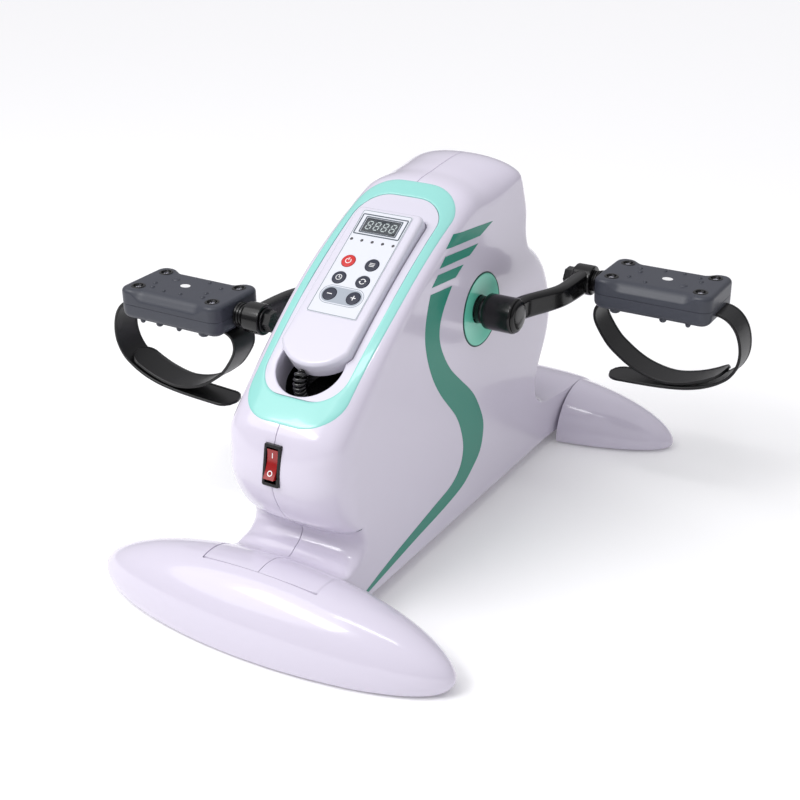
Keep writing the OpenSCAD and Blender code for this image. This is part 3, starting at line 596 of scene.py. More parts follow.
def console_skin(x, s):
    """Height of the housing's skin above the console's chord."""
    down = Vector(console(0, 0, -1)) - Vector(console(0, 0, 0))
    point, _ = on_shell(Vector(console(x, s, 40)), down)
    if point is None:
        return console_height(min(CONSOLE_L, max(0, s)))
    offset = point - Vector(console(0, 0, 0))
    return -offset.dot(down)


# Coloured bands on both sides
STRIPES = [
    [(38.9, 248.8), (18.1, 243.1), (-33.5, 248), (-20.5, 255.6), (8, 252.5)],
    [(14.9, 237.8), (1.5, 232.4), (-44.5, 236.5), (-35.8, 242.9), (-12, 240.5)],
    [(-8.1, 228.2), (-20.5, 221.9), (-55.9, 225.4), (-47, 232.2), (-30, 230.5)],
]
BAND_FRONT = [
    (-58, 220.5), (-64, 205), (-66.5, 189), (-63, 170), (-54, 149), (-40, 129), (-20, 106), (-10, 86),
    (-7.5, 69), (-14, 55), (-28, 46.5), (-48, 42.5), (-78, 37), (-110, 31), (-140, 24.5), (-156, 20.5),
]
BAND_REAR = [
    (-26, 217), (-37, 205), (-44, 193), (-45, 180), (-39, 165), (-27, 148), (-8, 130), (11, 111),
    (25, 86), (26.5, 71), (21, 56), (8, 46), (-10, 37), (-45, 31), (-78, 27.5), (-110, 23.5),
    (-141, 19.5), (-153, 18),
]


def dense(loop, step=2.5):
    made = []
    for i, p in enumerate(loop):
        q = loop[(i + 1) % len(loop)]
        n = max(1, int(math.dist(p, q) / step))
        made += [(p[0] + (q[0] - p[0]) * k / n, p[1] + (q[1] - p[1]) * k / n) for k in range(n)]
    return made


def decal(shape, side, loop):
    """A thin film on the side of the housing."""

    def on_side(y, z, h):
        point, normal = on_shell(Vector((side * 90, y, z)), Vector((-side, 0, 0)))
        if point is None:
            return (side * SHELL_HALF, y, z)
        return tuple(point + normal * h)

    shape.place = on_side
    shape.solid(dense(loop), -0.4, 0.22, extra=grid_in(dense(loop), 2.5, 1))


band = refine(BAND_FRONT, 2) + list(reversed(refine(BAND_REAR, 2)))
for side, word in SIDES:
    stripes = Shape()
    for loop in STRIPES:
        decal(stripes, side, loop)
    decal(stripes, side, band)
    piece(stripes, "side_bands_" + word, "base", "stripe_green", angle=60, level=False)


# ---------------- trim ring and console panel
def trim_ring():
    """The aqua ring, which narrows a little towards its lower end."""
    outer = rounded_box(0, CONSOLE_L / 2, 44, CONSOLE_L / 2, 31, 16, 14)
    inner = rounded_box(0, 117, 36.5, 95, 25, 16, 14)
    rows = []
    profile = [(0, -2.2), (0, -0.5), (0.012, -0.1), (0.04, 0.18), (0.09, 0.34)]
    profile += [(t, 0.4) for t in (0.2, 0.35, 0.5, 0.65, 0.8)]
    profile += [(0.91, 0.34), (0.96, 0.18), (0.988, -0.1), (1, -0.5), (1, -2.2)]
    shape = Shape(console)
    for t, h in profile:
        flat = [(p[0] + (q[0] - p[0]) * t, p[1] + (q[1] - p[1]) * t) for p, q in zip(outer, inner)]
        flat = [(x * (1 - 0.06 * (1 - smoothstep(s, 20, 130))), s) for x, s in flat]
        rows.append([(x, s, console_skin(x, s) + h) for x, s in flat])
    shape.loft(rows + rows[:1])
    return shape


piece(trim_ring(), "console_trim", "base", "ring_aqua", ["console_bezel"], level=False)


def handset_loop(d=0.0):
    """Outline of the handset, grown by d."""
    half, r = 29 + d, 33 + d
    reach = math.asin(half / r)
    points = [
        (r * math.sin(reach * k / 20), 78 - r * math.cos(reach * k / 20)) for k in range(-20, 21)
    ]
    start, end = points[-1][1], 190 + d
    corner = 6 + d
    points += [(half, start + (end - corner - start) * k / 30) for k in range(1, 31)]
    bend = [k * math.pi / 16 for k in range(1, 9)]
    points += [(half - corner + corner * math.cos(a), end - corner + corner * math.sin(a)) for a in bend]
    points += [(half - corner - 2 * (half - corner) * k / 12, end) for k in range(1, 13)]
    points += [(-half + corner - corner * math.sin(a), end - corner + corner * math.cos(a)) for a in bend]
    points += [(-half, end - corner - (end - corner - start) * k / 30) for k in range(1, 30)]
    return points


def recess_loop():
    """The handset's outline, joined to the round well at its lower end."""
    outside = [p for p in handset_loop(0.5) if math.dist(p, (0, WELL_S)) > WELL_R]
    first = next(i for i in range(len(outside)) if math.dist(outside[i], outside[i - 1]) > 20)
    outside = outside[first:] + outside[:first]
    a = math.atan2(outside[-1][1] - WELL_S, outside[-1][0])
    b = math.atan2(outside[0][1] - WELL_S, outside[0][0])
    while b < a:
        b += 2 * math.pi
    bend = [a + (b - a) * k / 60 for k in range(61)]
    return outside + [(WELL_R * math.cos(t), WELL_S + WELL_R * math.sin(t)) for t in bend]


def console_panel():
    """The white panel, its recess for the handset and the round well."""
    loop = recess_loop()
    window = rounded_box(0, 117, 36.2, 94.7, 24.7, 12, 14)
    floor, depth, sunk, lip = -3.5, -40, 0.25, 1.3
    shape = Shape(console)
    top_rings = []
    for k in range(5):
        a = math.pi / 2 * k / 4
        flat = grow(loop, lip * (1 - math.sin(a)))
        top_rings.append([(x, s, console_skin(x, s) - sunk - lip * (1 - math.cos(a))) for x, s in flat])
    top_rings.append([(x, s, floor) for x, s in loop])
    shape.loft(top_rings)
    edge = grow(loop, lip)
    shape.lid(window, [edge], lambda x, s: console_skin(x, s) - sunk, grid_in(window, 5, 2, [grow(edge, 2)]))
    shape.loft([[(x, s, console_skin(x, s) - sunk - d) for x, s in window] for d in (0, 2.5)])
    shape.lid(loop, [circle(0, WELL_S, WELL_R - 0.02, 120)], floor)
    corner = 4
    bend = [k * math.pi / 8 for k in range(1, 5)]
    rings = [(WELL_R, floor - 0.01), (WELL_R, floor - 1), (WELL_R, depth + corner)]
    rings += [(WELL_R - corner * (1 - math.cos(a)), depth + corner - corner * math.sin(a)) for a in bend]
    rings += [(12, depth), (0, depth)]
    shape.place = console_at(0, WELL_S)
    shape.turn(rings, 120)
    return shape


piece(console_panel(), "console_recess", "base", "panel_white", ["console_panel"], level=False, angle=50)
# Black lining in the lower well: its dark floor is the well's own colour, and its dark walls are painted
# shade for the shade deep in the well
well_bottom_and_shade = Shape(console_at(0, WELL_S))
well_bottom_and_shade.turn([
    (26.8, -17), (26.95, -17), (26.95, -35.8), (23, -39.8), (0, -39.9), (0, -39.4), (22.6, -39.4),
    (26.6, -35.6),
], 96, closed=True)
piece(well_bottom_and_shade, "well_dark_bottom_and_shade", "base", "black_plastic")


# ---------------- feet
def spindle(a, b, c, zc, start, stop, steps=64, sides=80):
    """Rings of a long egg with half sizes a, b and c, flattened softly where it meets the floor."""
    rings = []
    low, high = (math.asin(v / a) for v in (start, stop))
    for k in range(steps + 1):
        x = a * math.sin(low + (high - low) * k / steps)
        f = max((max(0, 1 - (x / a) ** 2)) ** FOOT_POWER, 0.004)
        ring = []
        for j in range(sides):
            t = 2 * math.pi * j / sides
            z = zc + c * f * math.sin(t)
            soft = 2 + 0.5 * ((z - 2) + math.sqrt((z - 2) ** 2 + 1.4))
            ring.append((x, b * f * math.cos(t), max(2, soft) if zc + c * f > 3 else max(2, z)))
        rings.append(ring)
    return rings


def foot(rings, y, mirror=1):
    shape = Shape(lambda x, v, z: (mirror * x, y + v, z))
    shape.rod(rings)
    return shape


saddle = Shape()
saddle.solid(rounded_box(0, -197.4, 50.2, 21.6, 1.2), 40, 90)
front = foot(spindle(*FRONT_FOOT, -153.98, 153.98), FRONT_FOOT_Y)
piece(front, "front_foot", "base", "shell_white", ["front_foot_shell"], angle=50, cut=saddle)
for side, word in SIDES:
    pod = foot(spindle(151, 45.5, 42, 6, 54.6, 150.98, 48), REAR_FOOT_Y, side)
    piece(pod, "rear_pod_" + word, "base", "shell_white", ["rear_foot_" + word], angle=50)


# ---------------- disc covers and collars
for side, word in SIDES:
    disc = Shape(axle(at_crank(side)))
    disc.turn([
        (11.6, 46), (11.6, 48.3), (14, 48.45), (18, 48.9), (22, 49.5), (26, 50.2), (28, 50.55),
        (28.9, 50.5), (29.0, 49.5), (29.0, 46),
    ], 96, closed=True)
    piece(disc, "disc_" + word, "base", "disc_mint", ["disc_cover_" + word])
    # Painted shade: a thin dark green ring round each disc stands in for the shade in the gap between the
    # disc and the housing
    rim = Shape(axle(at_crank(side)))
    rim.turn([
        (29.0, 47), (29.0, 50.6), (29.2, 50.75), (29.6, 50.75), (29.8, 50.6), (29.8, 47),
    ], 96, closed=True)
    piece(rim, "disc_shade_rim_" + word, "base", "rim_shade_green")

collars = Shape()
washers = Shape()
caps = Shape()
for side in (-1, 1):
    collars.place = washers.place = caps.place = axle(at_crank(side))
    collars.turn([(8.6, 49), (10.6, 49), (11, 49.4), (11, 52.6), (10.6, 53), (8.6, 53)], closed=True)
    washers.turn([(6.6, 54.1), (9.2, 54.1), (9.5, 54.4), (9.5, 55.5), (9.2, 55.8), (6.6, 55.8)], closed=True)
    caps.turn([
        (0, 81.6), (12.4, 81.6), (13, 82), (12.6, 82.7), (11.4, 83.5), (9.2, 84.1), (5, 84.35), (0, 84.4),
    ])
piece(collars, "collars", "crankset", "black_plastic", ["shaft_collars"])
piece(washers, "collar_rings", "crankset", "bare_steel")
piece(caps, "hub_end_caps", "crankset", "crank_black", ["hub_caps"])


# ---------------- crank arms
ARM = [
    # y, inner x, outer x, half height
    (0, 69, 80.8, 8.6), (10, 69.6, 80.9, 9.1), (19, 71.4, 82, 9.4), (28, 75, 85.6, 9.4),
    (40, 80.6, 91.6, 9.2), (52, 85.4, 96.6, 9), (62, 87.4, 98.8, 9.1), (76, 88, 99.7, 9.5),
    (98, 88.4, 100.2, 10),
]


def crank_arm(side):
    shape = Shape(at_crank(side))
    rings = []
    for y, low, high, half in refine(ARM, 2):
        section = rounded_box((low + high) / 2, 0, (high - low) / 2, half, 4.2, 6, 4)
        rings.append([(x, y, z) for x, z in section])
    shape.rod(rings)
    shape.place = axle(at_crank(side))
    shape.turn([
        (0, 56.05), (12.6, 56.05), (13.8, 56.5), (14.3, 57.4), (14.3, 79.4), (13.9, 80.7), (12.9, 81.45),
        (0, 81.5),
    ], 72)
    hub = shape.place
    shape.place = lambda y, z, x: hub(y + ARM_LENGTH, z, x)
    shape.turn([
        (0, 86), (11.2, 86), (12.1, 86.4), (12.5, 87.3), (12.5, 100.4), (12.1, 101.5), (11.2, 101.95),
        (0, 102),
    ], 72)
    return shape


for side, word in SIDES:
    piece(crank_arm(side), "arm_" + word, "crankset", "crank_black", ["crank_arm_" + word])
    pin = Shape(axle(at_pedal(side)))
    pin.turn([
        (0, -75.8), (5.6, -75.8), (6, -75.4), (6, -59.3), (8.2, -59.2), (8.6, -58.8), (8.7, -57.7),
        (8.1, -57.4), (8.2, -56.8), (9.1, -56.5), (9.2, -55.5), (8.6, -55.2), (8.7, -54.6), (9.6, -54.3),
        (9.8, -53.3), (9.2, -53), (9.3, -52.4), (10.1, -52.1), (10.3, -50.9), (10.0, -50.6), (6, -50.6),
        (6, 40.3), (8, 40.4), (8, 42.7), (0, 42.8),
    ])
    piece(pin, "pedal_pin_" + word, "crankset", "black_plastic", ["pedal_spindle_" + word])

nuts = Shape()
for side in (-1, 1):
    nuts.place = axle(at_pedal(side))
    nuts.solid(dense(circle(0, 0, 8.6, 6), 3), -84, -76.9, 0.2, 0.5)
    nuts.turn([(0, -77), (9.7, -77), (10, -76.7), (10, -75.8), (9.6, -75.5), (0, -75.5)])
piece(nuts, "pedal_end_nuts", "crankset", "black_plastic", ["pedal_nuts"])


# ---------------- pedals
SCREWS = [(i * 37.3, j * 17.3) for i in (-1, 1) for j in (-1, 1)]
PEDAL_EDGE = rounded_box(0, 0, 49.5, 29, 9, 10, 30)


def waist(x, y):
    """1 along the middle of a pedal's long sides, and 0 at its end blocks."""
    return (1 - smoothstep(abs(x), 27, 38)) * smoothstep(abs(y), 14, 22)


# Nubs on the top of each pedal: x, y and the two half sizes
NUBS = [
    (30, 5, 1.9, 1.9), (26, 13, 1.9, 1.9), (-21, 4, 1.9, 1.9), (-24, 12, 1.9, 1.9), (20, -9, 3.8, 2.8),
    (-9, -16, 1.7, 1.7), (-25, -10, 1.7, 1.7), (-4, 15, 1.6, 1.6), (12, 16, 1.5, 1.5),
]


def pedal_upper(side):
    shape = Shape(at_pedal(side))
    edge = PEDAL_EDGE
    rings = [[(x, y, 1.06) for x, y in grow(edge, -d)] for d in (2.0, 0.4)]
    rings += [[(x, y, z) for x, y in grow(edge, -d)] for d, z in ((0.08, 1.15), (0, 1.4))]
    for k in range(11):
        a = math.pi / 2 * k / 10
        ring = []
        for (x, y), (near_x, near_y) in zip(edge, grow(edge, -1)):
            w = waist(x, y)
            r = 3.6 + 5.2 * w
            d = r * (1 - math.cos(a)) + 1.5 * w * smoothstep(a, 0, 0.5)
            px, py = x + (near_x - x) * d, y + (near_y - y) * d
            ring.append((px, py, 13.4 + 0.5 * (1 - w) - r * (1 - math.sin(a))))
        rings.append(ring)
    shape.loft(rings)
    holes = [circle(x, y, 5.4, 32) for x, y in SCREWS]
    lid = [(x, y) for x, y, _ in rings[-1]]
    height = {(round(x, 4), round(y, 4)): z for x, y, z in rings[-1]}

    def crown(x, y):
        known = height.get((round(x, 4), round(y, 4)))
        if known is not None:
            return known
        z = 13.9 - 0.5 * (1 - smoothstep(abs(x), 27, 38))
        for nx, ny, rx, ry in NUBS:
            away = ((x - nx) / rx) ** 2 + ((y - ny) / ry) ** 2
            if away < 1:
                z += 1.25 * (1 - away) ** 0.6
        return z

    around = [grow(h, 1.0) for h in holes]
    extra = grid_in(lid, 2.0, 1.2, around)
    near = [(x, y) for x, y in extra if not any(math.dist((x, y), (n[0], n[1])) < n[2] + 1 for n in NUBS)]
    for nx, ny, rx, ry in NUBS:
        near += [
            (nx + rx * t * math.cos(a * math.pi / 8), ny + ry * t * math.sin(a * math.pi / 8))
            for t in (0.35, 0.7, 0.9, 1.02) for a in range(16)
        ]
        near.append((nx, ny))
    shape.lid(lid, holes, crown, near)
    for h in holes:
        shape.loft([[(x, y, z) for x, y in h] for z in (13.9, 10.4)])
        shape.lid(h, (), 10.4)
    shape.lid(grow(edge, -2.0), (), 1.06)
    return shape


# Knobs under each pedal: x, y and radius
BUMPS = [
    (31, 22.5, 2.2), (14, 22, 3), (-6, 22.5, 2.2), (-30, 21, 4.6),
    (31, -22.5, 2.2), (10, -22, 3), (-31, -21, 4.6),
]


def pedal_lower(side):
    shape = Shape(at_pedal(side))
    edge = PEDAL_EDGE
    rings = [[(x, y, 0.95) for x, y in grow(edge, -d)] for d in (2.0, 0.4)]
    rings += [[(x, y, z) for x, y in grow(edge, -d)] for d, z in ((0.08, 0.85), (0, 0.6), (0, -3))]
    for k in range(1, 9):
        a = math.pi / 2 * k / 8
        rings.append([(x, y, -12 + 6.5 * (1 - math.sin(a))) for x, y in grow(edge, -6.5 * (1 - math.cos(a)))])
    shape.loft(rings)
    lid = [(x, y) for x, y, _ in rings[-1]]
    shape.lid(lid, (), -12, grid_in(lid, 5, 3))
    shape.lid(grow(edge, -2.0), (), 0.95)
    for x, y, r in BUMPS:
        shape.place = pedal_at(side, x, y)
        shape.turn([
            (0, -9), (r, -9), (r, -12.6), (r * 0.92, -13.6), (r * 0.7, -14.5), (r * 0.35, -15), (0, -15.1),
        ], 24)
    return shape


def screw_crown(a, b):
    return 13.5 - 0.09 * (a * a + b * b)


def cross_shape(w, reach):
    """A plus sign with arms 2 w wide."""
    return [
        (w, w), (w, reach), (-w, reach), (-w, w), (-reach, w), (-reach, -w),
        (-w, -w), (-w, -reach), (w, -reach), (w, -w), (reach, -w), (reach, w),
    ]


for side, word in SIDES:
    body = "pedal_" + word
    piece(pedal_upper(side), "pedal_top_" + word, body, "pedal_slate", ["pedal_upper_" + word])
    piece(pedal_lower(side), "pedal_base_" + word, body, "pedal_slate", ["pedal_lower_" + word])
    rims, screws = Shape(at_pedal(side)), Shape(at_pedal(side))
    for x, y in SCREWS:
        rims.place = screws.place = pedal_at(side, x, y)
        rims.turn([
            (3.9, 10.45), (3.9, 13.9), (4.1, 14.2), (4.8, 14.4), (5.6, 14.2), (6.0, 13.8), (6.0, 13.2),
            (5.3, 13), (5.3, 10.45),
        ], 40, closed=True)
        cross = cross_shape(0.5, 2.1)
        head = circle(0, 0, 3.4, 40)
        screws.loft([[(a, b, h) for a, b in head] for h in (10.5, 11.6, screw_crown(3.4, 0))])
        screws.lid(head, [cross], screw_crown, grid_in(head, 0.7, 0.3, [grow(cross, 0.3)]))
        screws.loft([[(a, b, screw_crown(a, b)) for a, b in cross], [(a, b, 12.3) for a, b in cross]])
        screws.lid(cross, (), 12.3)
        screws.lid(head, (), 10.5)
    sticker = Shape(at_pedal(side))
    around = [k * math.pi / 20 for k in range(40)]
    sticker.solid([(4 + 4.4 * math.cos(a), -1 + 3.4 * math.sin(a)) for a in around], 13, 13.55)
    piece(sticker, "blank_sticker_" + word, body, "icon_white", level=False)
    piece(rims, "screw_rings_" + word, body, "black_plastic")
    piece(screws, "pedal_bolts_" + word, body, "screw_chrome", ["pedal_screws_" + word])


# ---------------- straps
STRAP_OUTER = [
    (45, -4.4), (52, -4.6), (60, -8), (67, -16), (71, -28), (70.8, -42), (64, -55.5),
    (49, -66), (30.5, -72.4), (8, -75.6), (-16, -77), (-41, -78),
]
STRAP_INNER = [
    (-36, -10.5), (-44, -12.2), (-50.2, -16.2), (-52.2, -24), (-49.3, -33), (-40, -46.5),
    (-31, -54.5), (-19, -62.5), (-5, -68.2), (13.8, -70.8), (35, -66.2), (52, -58.4), (60, -52.5),
]


def ribbon(shape, route):
    """A ply of the strap, with raised rims and a rounded tail."""
    path = refine(route, 3)
    lengths = [0]
    for p, q in zip(path, path[1:]):
        lengths.append(lengths[-1] + math.dist(p, q))
    rings = []
    for i, (x, z) in enumerate(path):
        p, q = path[max(i - 1, 0)], path[min(i + 1, len(path) - 1)]
        size = math.dist(p, q)
        nx, nz = -(q[1] - p[1]) / size, (q[0] - p[0]) / size
        left = lengths[-1] - lengths[i]
        half = 13.5
        if left < 11:
            half = max(1.2, half * math.sqrt(max(0, 1 - ((11 - left) / 11) ** 2)))
        rim = min(2, half / 3)
        corner = [(half, 0.8), (half - 0.4, 1.2), (half - rim, 1.2), (half - rim - 0.3, 0.85)]
        low = [(-w, -t) for w, t in corner] + [(w, -t) for w, t in reversed(corner)]
        section = low + [(-w, -t) for w, t in low]
        rings.append([(x + nx * t, w, z + nz * t) for w, t in section])
    shape.rod(rings)


for side, word in SIDES:
    strap = Shape(at_pedal(side))
    ribbon(strap, STRAP_OUTER)
    ribbon(strap, STRAP_INNER)
    piece(strap, "foot_strap_" + word, "pedal_" + word, "strap_rubber", ["pedal_strap_" + word], level=False)


# ---------------- power switch
bezel = Shape(switch)
key_hole = rounded_box(0, 0, 4.9, 13, 0.6)
bezel.solid(rounded_box(0, 0, 7.2, 15.5, 1.6), -1.5, 1.5, 0.7, 0, holes=[key_hole], hole_r=0.3)
bezel.solid(rounded_box(0, 0, 6.2, 14, 0.6), -14, -1.5, holes=[key_hole])
piece(bezel, "switch_frame", "base", "black_plastic", ["switch_bezel"])


def rocker_top(u):
    """Height of the rocker's hollow upper face."""
    return 4.7 + 2.1 * (abs(u) / 10.8) ** 1.9


def rocker():
    tilt = math.radians(-8)

    def place(x, u, w):
        v, h = u * math.cos(tilt) - w * math.sin(tilt), u * math.sin(tilt) + w * math.cos(tilt)
        return switch(x, v, h - 4)

    shape = Shape(axle(place))
    profile = [
        (-10.4, 2), (-9.4, -3), (-5, -6.5), (5, -6.5), (9.4, -3), (10.4, 2), (10.8, 6.8), (8, 5.9),
        (4, 5.0), (0, 4.7), (-4, 5.0), (-8, 5.9), (-10.8, 6.8),
    ]
    shape.solid(profile, -4.6, 4.6, 0.4, 0.4)
    return shape, place


rocker_shape, on_rocker = rocker()
piece(rocker_shape, "switch_key", "rocker", "rocker_red", ["switch_rocker"], angle=30)
marks = Shape(lambda x, u, h: on_rocker(x, u, rocker_top(u) + h))
marks.solid(bar(0.35, 1.9, 6.5), -0.2, 0.15)
marks.solid(circle(0, -6.4, 2.1, 32), -0.2, 0.15, holes=[circle(0, -6.4, 1.4, 32)])
piece(marks, "switch_marks", "rocker", "icon_white", level=False)


# ---------------- handset
BUTTONS = {
    "power": (-10.2, 137.4), "mode": (10.2, 137.4), "timer": (-10.2, 121.7),
    "direction": (10.2, 121.7), "minus": (-10.2, 106.3), "plus": (10.2, 106.3),
}
FILM_S, DISPLAY_S, PILL_S = 137.25, 172.5, 106.3
# Lower and upper heights of the print on the film and of the signs on the keys
PRINT, ICON = (11.8, 12.0), (12.3, 12.44)
LAMPS = [(x, 157.5) for x in (-18, -9, 0, 9, 18)]
button_holes = [circle(x, s, 5.8, 40) for x, s in BUTTONS.values()]
lamp_holes = [circle(x, s, 1.3, 20) for x, s in LAMPS]
window = rounded_box(0, DISPLAY_S, 14.8, 6.6, 0.3, 2, 3)
holes = [*button_holes, *lamp_holes, window]

shell = Shape(console)
face_points = grid_in(handset_loop(-3.3), 6, 2, holes)
shell.solid(handset_loop(), 4.05, 11.5, 3.2, 0.2, holes=holes, steps=6, extra=face_points)
piece(shell, "handset_top", "handset", "panel_white", ["handset_front"])
under = Shape(console)
under.solid(handset_loop(), -3.2, 3.95, 0.2, 1.2)
piece(under, "handset_base", "handset", "panel_white", ["handset_back"])
film = Shape(console)
film.solid(rounded_box(0, FILM_S, 21.5, 48.75, 1.5), 11.52, 11.9, 0.1, 0, holes=holes)
piece(film, "key_film", "handset", "membrane_white", ["handset_membrane"])


def frame_line(shape, loop, width, low, high):
    shape.solid(grow(loop, width / 2), low, high, holes=[grow(loop, -width / 2)])


lines = Shape(console)
frame_line(lines, rounded_box(0, FILM_S, 20.9, 48.1, 1.4), 0.5, *PRINT)
piece(lines, "film_border", "handset", "line_grey", level=False)
outlines = Shape(console)
frame_line(outlines, rounded_box(0, DISPLAY_S, 19.4, 9.4, 0.8), 0.9, 11.8, 12.05)
frame_line(outlines, rounded_box(0, DISPLAY_S, 15.6, 7.3, 0.4), 0.9, 11.8, 12.05)
piece(outlines, "display_border", "handset", "dark_print_and_crease_shade", level=False)

glass = Shape(console)
glass.solid(rounded_box(0, DISPLAY_S, 14.7, 6.5, 0.3, 2, 3), 9.6, 11.6, 0.1, 0)
piece(glass, "display_glass", "handset", "lens_dark", ["display_lenses"])
lamps = Shape(console)
for x, s in LAMPS:
    lamps.place = console_at(x, s)
    lamps.turn([(0, 9.7), (1.2, 9.7), (1.2, 11.8), (0.9, 12), (0, 12.05)], 24)
piece(lamps, "lamp_row", "handset", "lamp_dark")

# The seven bars of a digit: across, up, and whether the bar lies flat
SEGMENTS = [
    (0, 1, True), (1, 0.5, False), (1, -0.5, False), (0, -1, True), (-1, -0.5, False), (-1, 0.5, False),
    (0, 0, True),
]
FLAT_BAR = [(-1.55, 0), (-1.15, -0.4), (1.15, -0.4), (1.55, 0), (1.15, 0.4), (-1.15, 0.4)]
TALL_BAR = [(0, -1.5), (0.4, -1.1), (0.4, 1.1), (0, 1.5), (-0.4, 1.1), (-0.4, -1.1)]
LEAN = 0.12
digits = Shape(console)
for k in range(4):
    for across, up, flat in SEGMENTS:
        x = -10.2 + 6.8 * k + across * 1.9 + LEAN * up * 3.7
        s = DISPLAY_S + up * 3.7
        loop = [(x + a + LEAN * b, s + b) for a, b in (FLAT_BAR if flat else TALL_BAR)]
        digits.solid(loop, 11.5, 11.68)
piece(digits, "display_digits", "handset", "digit_grey", level=False)

pill = Shape(console)
pill_holes = [circle(x, PILL_S, 5.8, 40) for x in (-10.2, 10.2)]
pill.solid(rounded_box(0, PILL_S, 17, 7, 6.9), *PRINT, holes=pill_holes)
piece(pill, "pill_print", "handset", "pill_grey", level=False)
pill_line = Shape(console)
frame_line(pill_line, rounded_box(0, PILL_S, 18.1, 8.1, 8), 0.35, *PRINT)
piece(pill_line, "pill_outline", "handset", "line_grey", level=False)


def polar(r, degrees):
    a = math.radians(degrees)
    return (r * math.cos(a), r * math.sin(a))


def curved_bar(start, stop, turn):
    """A curved bar between two angles, turned round its middle."""
    outer = [(2.5, start + (stop - start) * k / 16) for k in range(17)]
    inner = [(1.9, a) for _, a in reversed(outer)]
    return [polar(r, a + turn) for r, a in outer + inner]


def icon(name, mark):
    """A plain sign of what a key does."""
    if name == "minus":
        mark.solid(bar(2.1, 0.35), *ICON)
    elif name == "plus":
        mark.solid(cross_shape(0.35, 2.1), *ICON)
    elif name == "timer":
        frame_line(mark, circle(0, 0, 2.3, 36), 0.5, *ICON)
        hands = [(-0.25, -0.25), (1.4, -0.25), (1.4, 0.25), (0.25, 0.25), (0.25, 1.6), (-0.25, 1.6)]
        mark.solid(hands, *ICON)
    elif name == "mode":
        for y in (-1.3, 0, 1.3):
            mark.solid(bar(2.2, 0.25, y), *ICON)
    elif name == "direction":
        for turn in (0, 180):
            mark.solid(curved_bar(20, 150, turn), *ICON)
            mark.solid([polar(1.3, 20 + turn), polar(2.2, turn - 8), polar(3.1, 20 + turn)], *ICON)
    else:
        mark.solid(curved_bar(20, 320, 90), *ICON)
        mark.solid(bar(0.3, 1.35, 1.75), *ICON)


KEY_PROFILE = [
    (0, 8.3), (6.5, 8.3), (6.6, 8.5), (6.6, 9.0), (5.5, 9.2), (5.5, 12.0), (5.3, 12.25), (4.9, 12.36),
    (0, 12.4),
]
for name, (x, s) in BUTTONS.items():
    body = name + "_button"
    button = Shape(console_at(x, s))
    button.turn(KEY_PROFILE, 56)
    colour = "button_red" if name == "power" else "button_navy"
    piece(button, name + "_key", body, colour, ["button_" + name])
    mark = Shape(console_at(x, s))
    icon(name, mark)
    piece(mark, name + "_icon", body, "icon_white", level=False)


# ---------------- curly cord
# From the handset down into the well, and on to the grommet
CORD_ROUTE = [
    (-4, 44.9, 1.2), (-4, 41.5, 1.2), (-4.4, 38, -1.6), (-4.8, 35.5, -6), (-5, 34, -12), (-5, 33.5, -18),
    (-4.5, 34, -24), (-3, 37, -29.5), (-1, 42, -33), (2, 48, -34), (5, 54, -34.3), (8.6, 60, -34),
    (10.6, 64, -33.2), (11, 67.6, -33), (11, 71, -33),
]


def curly_cord():
    """A helix wound round the cord's route, drawn out straight at both ends."""
    line = [Vector(console(*p)) for p in refine(list(reversed(CORD_ROUTE)), 3)]
    lengths = [0.0]
    for p, q in zip(line, line[1:]):
        lengths.append(lengths[-1] + (q - p).length)
    total = lengths[-1]
    coil_r, turns, per_turn = 3.9, 25, 16
    side = Vector((1, 0, 0))
    path, k = [], 0
    count = turns * per_turn
    for i in range(count + 1):
        at = total * i / count
        while k < len(line) - 2 and lengths[k + 1] < at:
            k += 1
        share = (at - lengths[k]) / (lengths[k + 1] - lengths[k])
        point = line[k].lerp(line[k + 1], share)
        along = (line[min(k + 2, len(line) - 1)] - line[max(k - 1, 0)]).normalized()
        side = (side - along * side.dot(along)).normalized()
        other = along.cross(side)
        ramp = smoothstep(i, 0, per_turn * 0.7) * smoothstep(count - i, 0, per_turn * 0.7)
        a = 2 * math.pi * i / per_turn
        path.append(point + (side * math.cos(a) + other * math.sin(a)) * coil_r * ramp)
    return path


def tube(path, r, sides=8):
    shape = Shape()
    rings = []
    side = Vector((0, 0, 1))
    for i, p in enumerate(path):
        along = (path[min(i + 1, len(path) - 1)] - path[max(i - 1, 0)]).normalized()
        side = (side - along * side.dot(along)).normalized()
        other = along.cross(side)
        around = [2 * math.pi * j / sides for j in range(sides)]
        rings.append([tuple(p + (side * math.cos(a) + other * math.sin(a)) * r) for a in around])
    shape.rod(rings)
    return shape


cord_path = curly_cord()
cord = bpy.data.objects.new("curly_lead", tube(cord_path, 1.45).mesh("curly_lead"))
scene.collection.objects.link(cord)
cord.data.materials.append(FINISH["cord_black"])
cord.data.shade_smooth()
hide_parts("handset_cord")
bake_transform(cord)


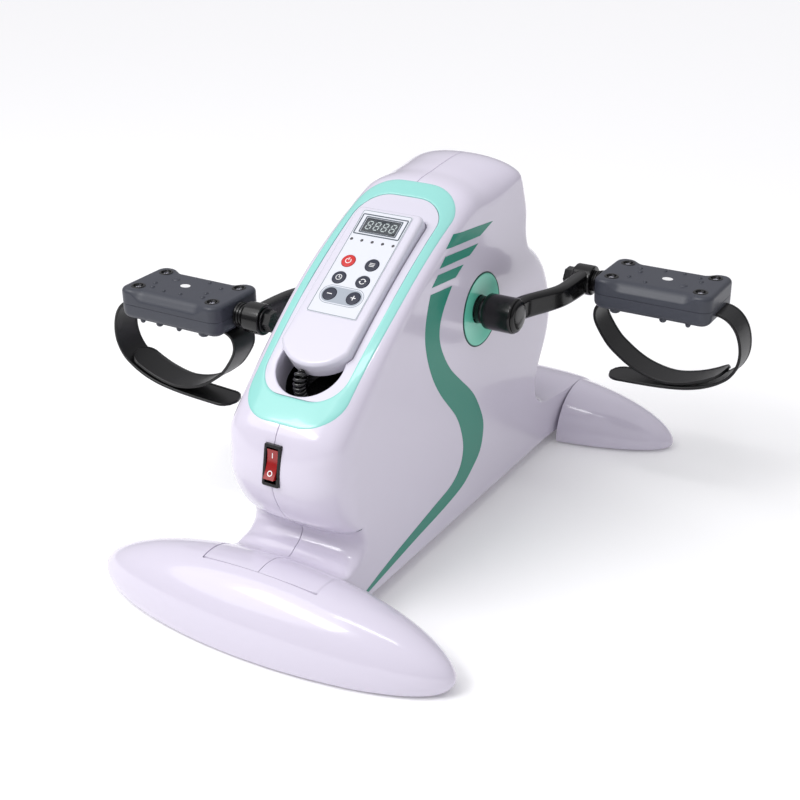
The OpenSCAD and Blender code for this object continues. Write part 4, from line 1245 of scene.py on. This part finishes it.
# ---------------- studio
world = bpy.data.worlds.new("studio")
scene.world = world
world.use_nodes = True
sky = world.node_tree.nodes
links = world.node_tree.links
sky_place = sky.new("ShaderNodeTexCoord")
sky_split = sky.new("ShaderNodeSeparateXYZ")
sky_level = sky.new("ShaderNodeMapRange")
sky_level.inputs["From Min"].default_value = 0
sky_level.inputs["From Max"].default_value = 1
sky_level.inputs["To Min"].default_value = 0.24
sky_level.inputs["To Max"].default_value = 0.92
sky["Background"].inputs["Color"].default_value = (0.97, 0.965, 1.0, 1)
links.new(sky_place.outputs["Generated"], sky_split.inputs["Vector"])
links.new(sky_split.outputs["Z"], sky_level.inputs["Value"])
links.new(sky_level.outputs["Result"], sky["Background"].inputs["Strength"])
scene.view_settings.view_transform = "Standard"

floor_mesh = bpy.data.meshes.new("floor")
work = bmesh.new()
bmesh.ops.create_grid(work, x_segments=8, y_segments=8, size=6)
work.to_mesh(floor_mesh)
work.free()
floor = bpy.data.objects.new("floor", floor_mesh)
scene.collection.objects.link(floor)
floor_white = material("floor_white", (0.98, 0.98, 0.98), 0.9, mottle=0.0, shine=0.2)
floor_inputs = floor_white.node_tree.nodes["Principled BSDF"].inputs
floor_inputs["Emission Color"].default_value = (1, 1, 1, 1)
floor_inputs["Emission Strength"].default_value = 0.07
floor.data.materials.append(floor_white)


def softbox(name, at, aim, width, height, power, colour=(1, 1, 1)):
    light = bpy.data.lights.new(name, "AREA")
    light.shape = "RECTANGLE"
    light.size, light.size_y = width, height
    light.energy = power
    light.color = colour
    obj = bpy.data.objects.new(name, light)
    obj.location = at
    obj.rotation_euler = (Vector(aim) - Vector(at)).to_track_quat("-Z", "Y").to_euler()
    scene.collection.objects.link(obj)


sun = bpy.data.lights.new("sun", "SUN")
sun.energy = 0.92
sun.angle = math.radians(50)
sun_obj = bpy.data.objects.new("sun", sun)
sun_obj.rotation_euler = Vector((0.55, 0.5, -0.85)).to_track_quat("-Z", "Y").to_euler()
scene.collection.objects.link(sun_obj)
softbox("window", (-0.52, -1.08, 1.4), (0.04, -0.23, 0.045), 0.95, 0.4, 8)
softbox("strip", (0.12, -0.58, 1.67), (0.09, -0.22, 0.045), 0.7, 0.14, 2.5)
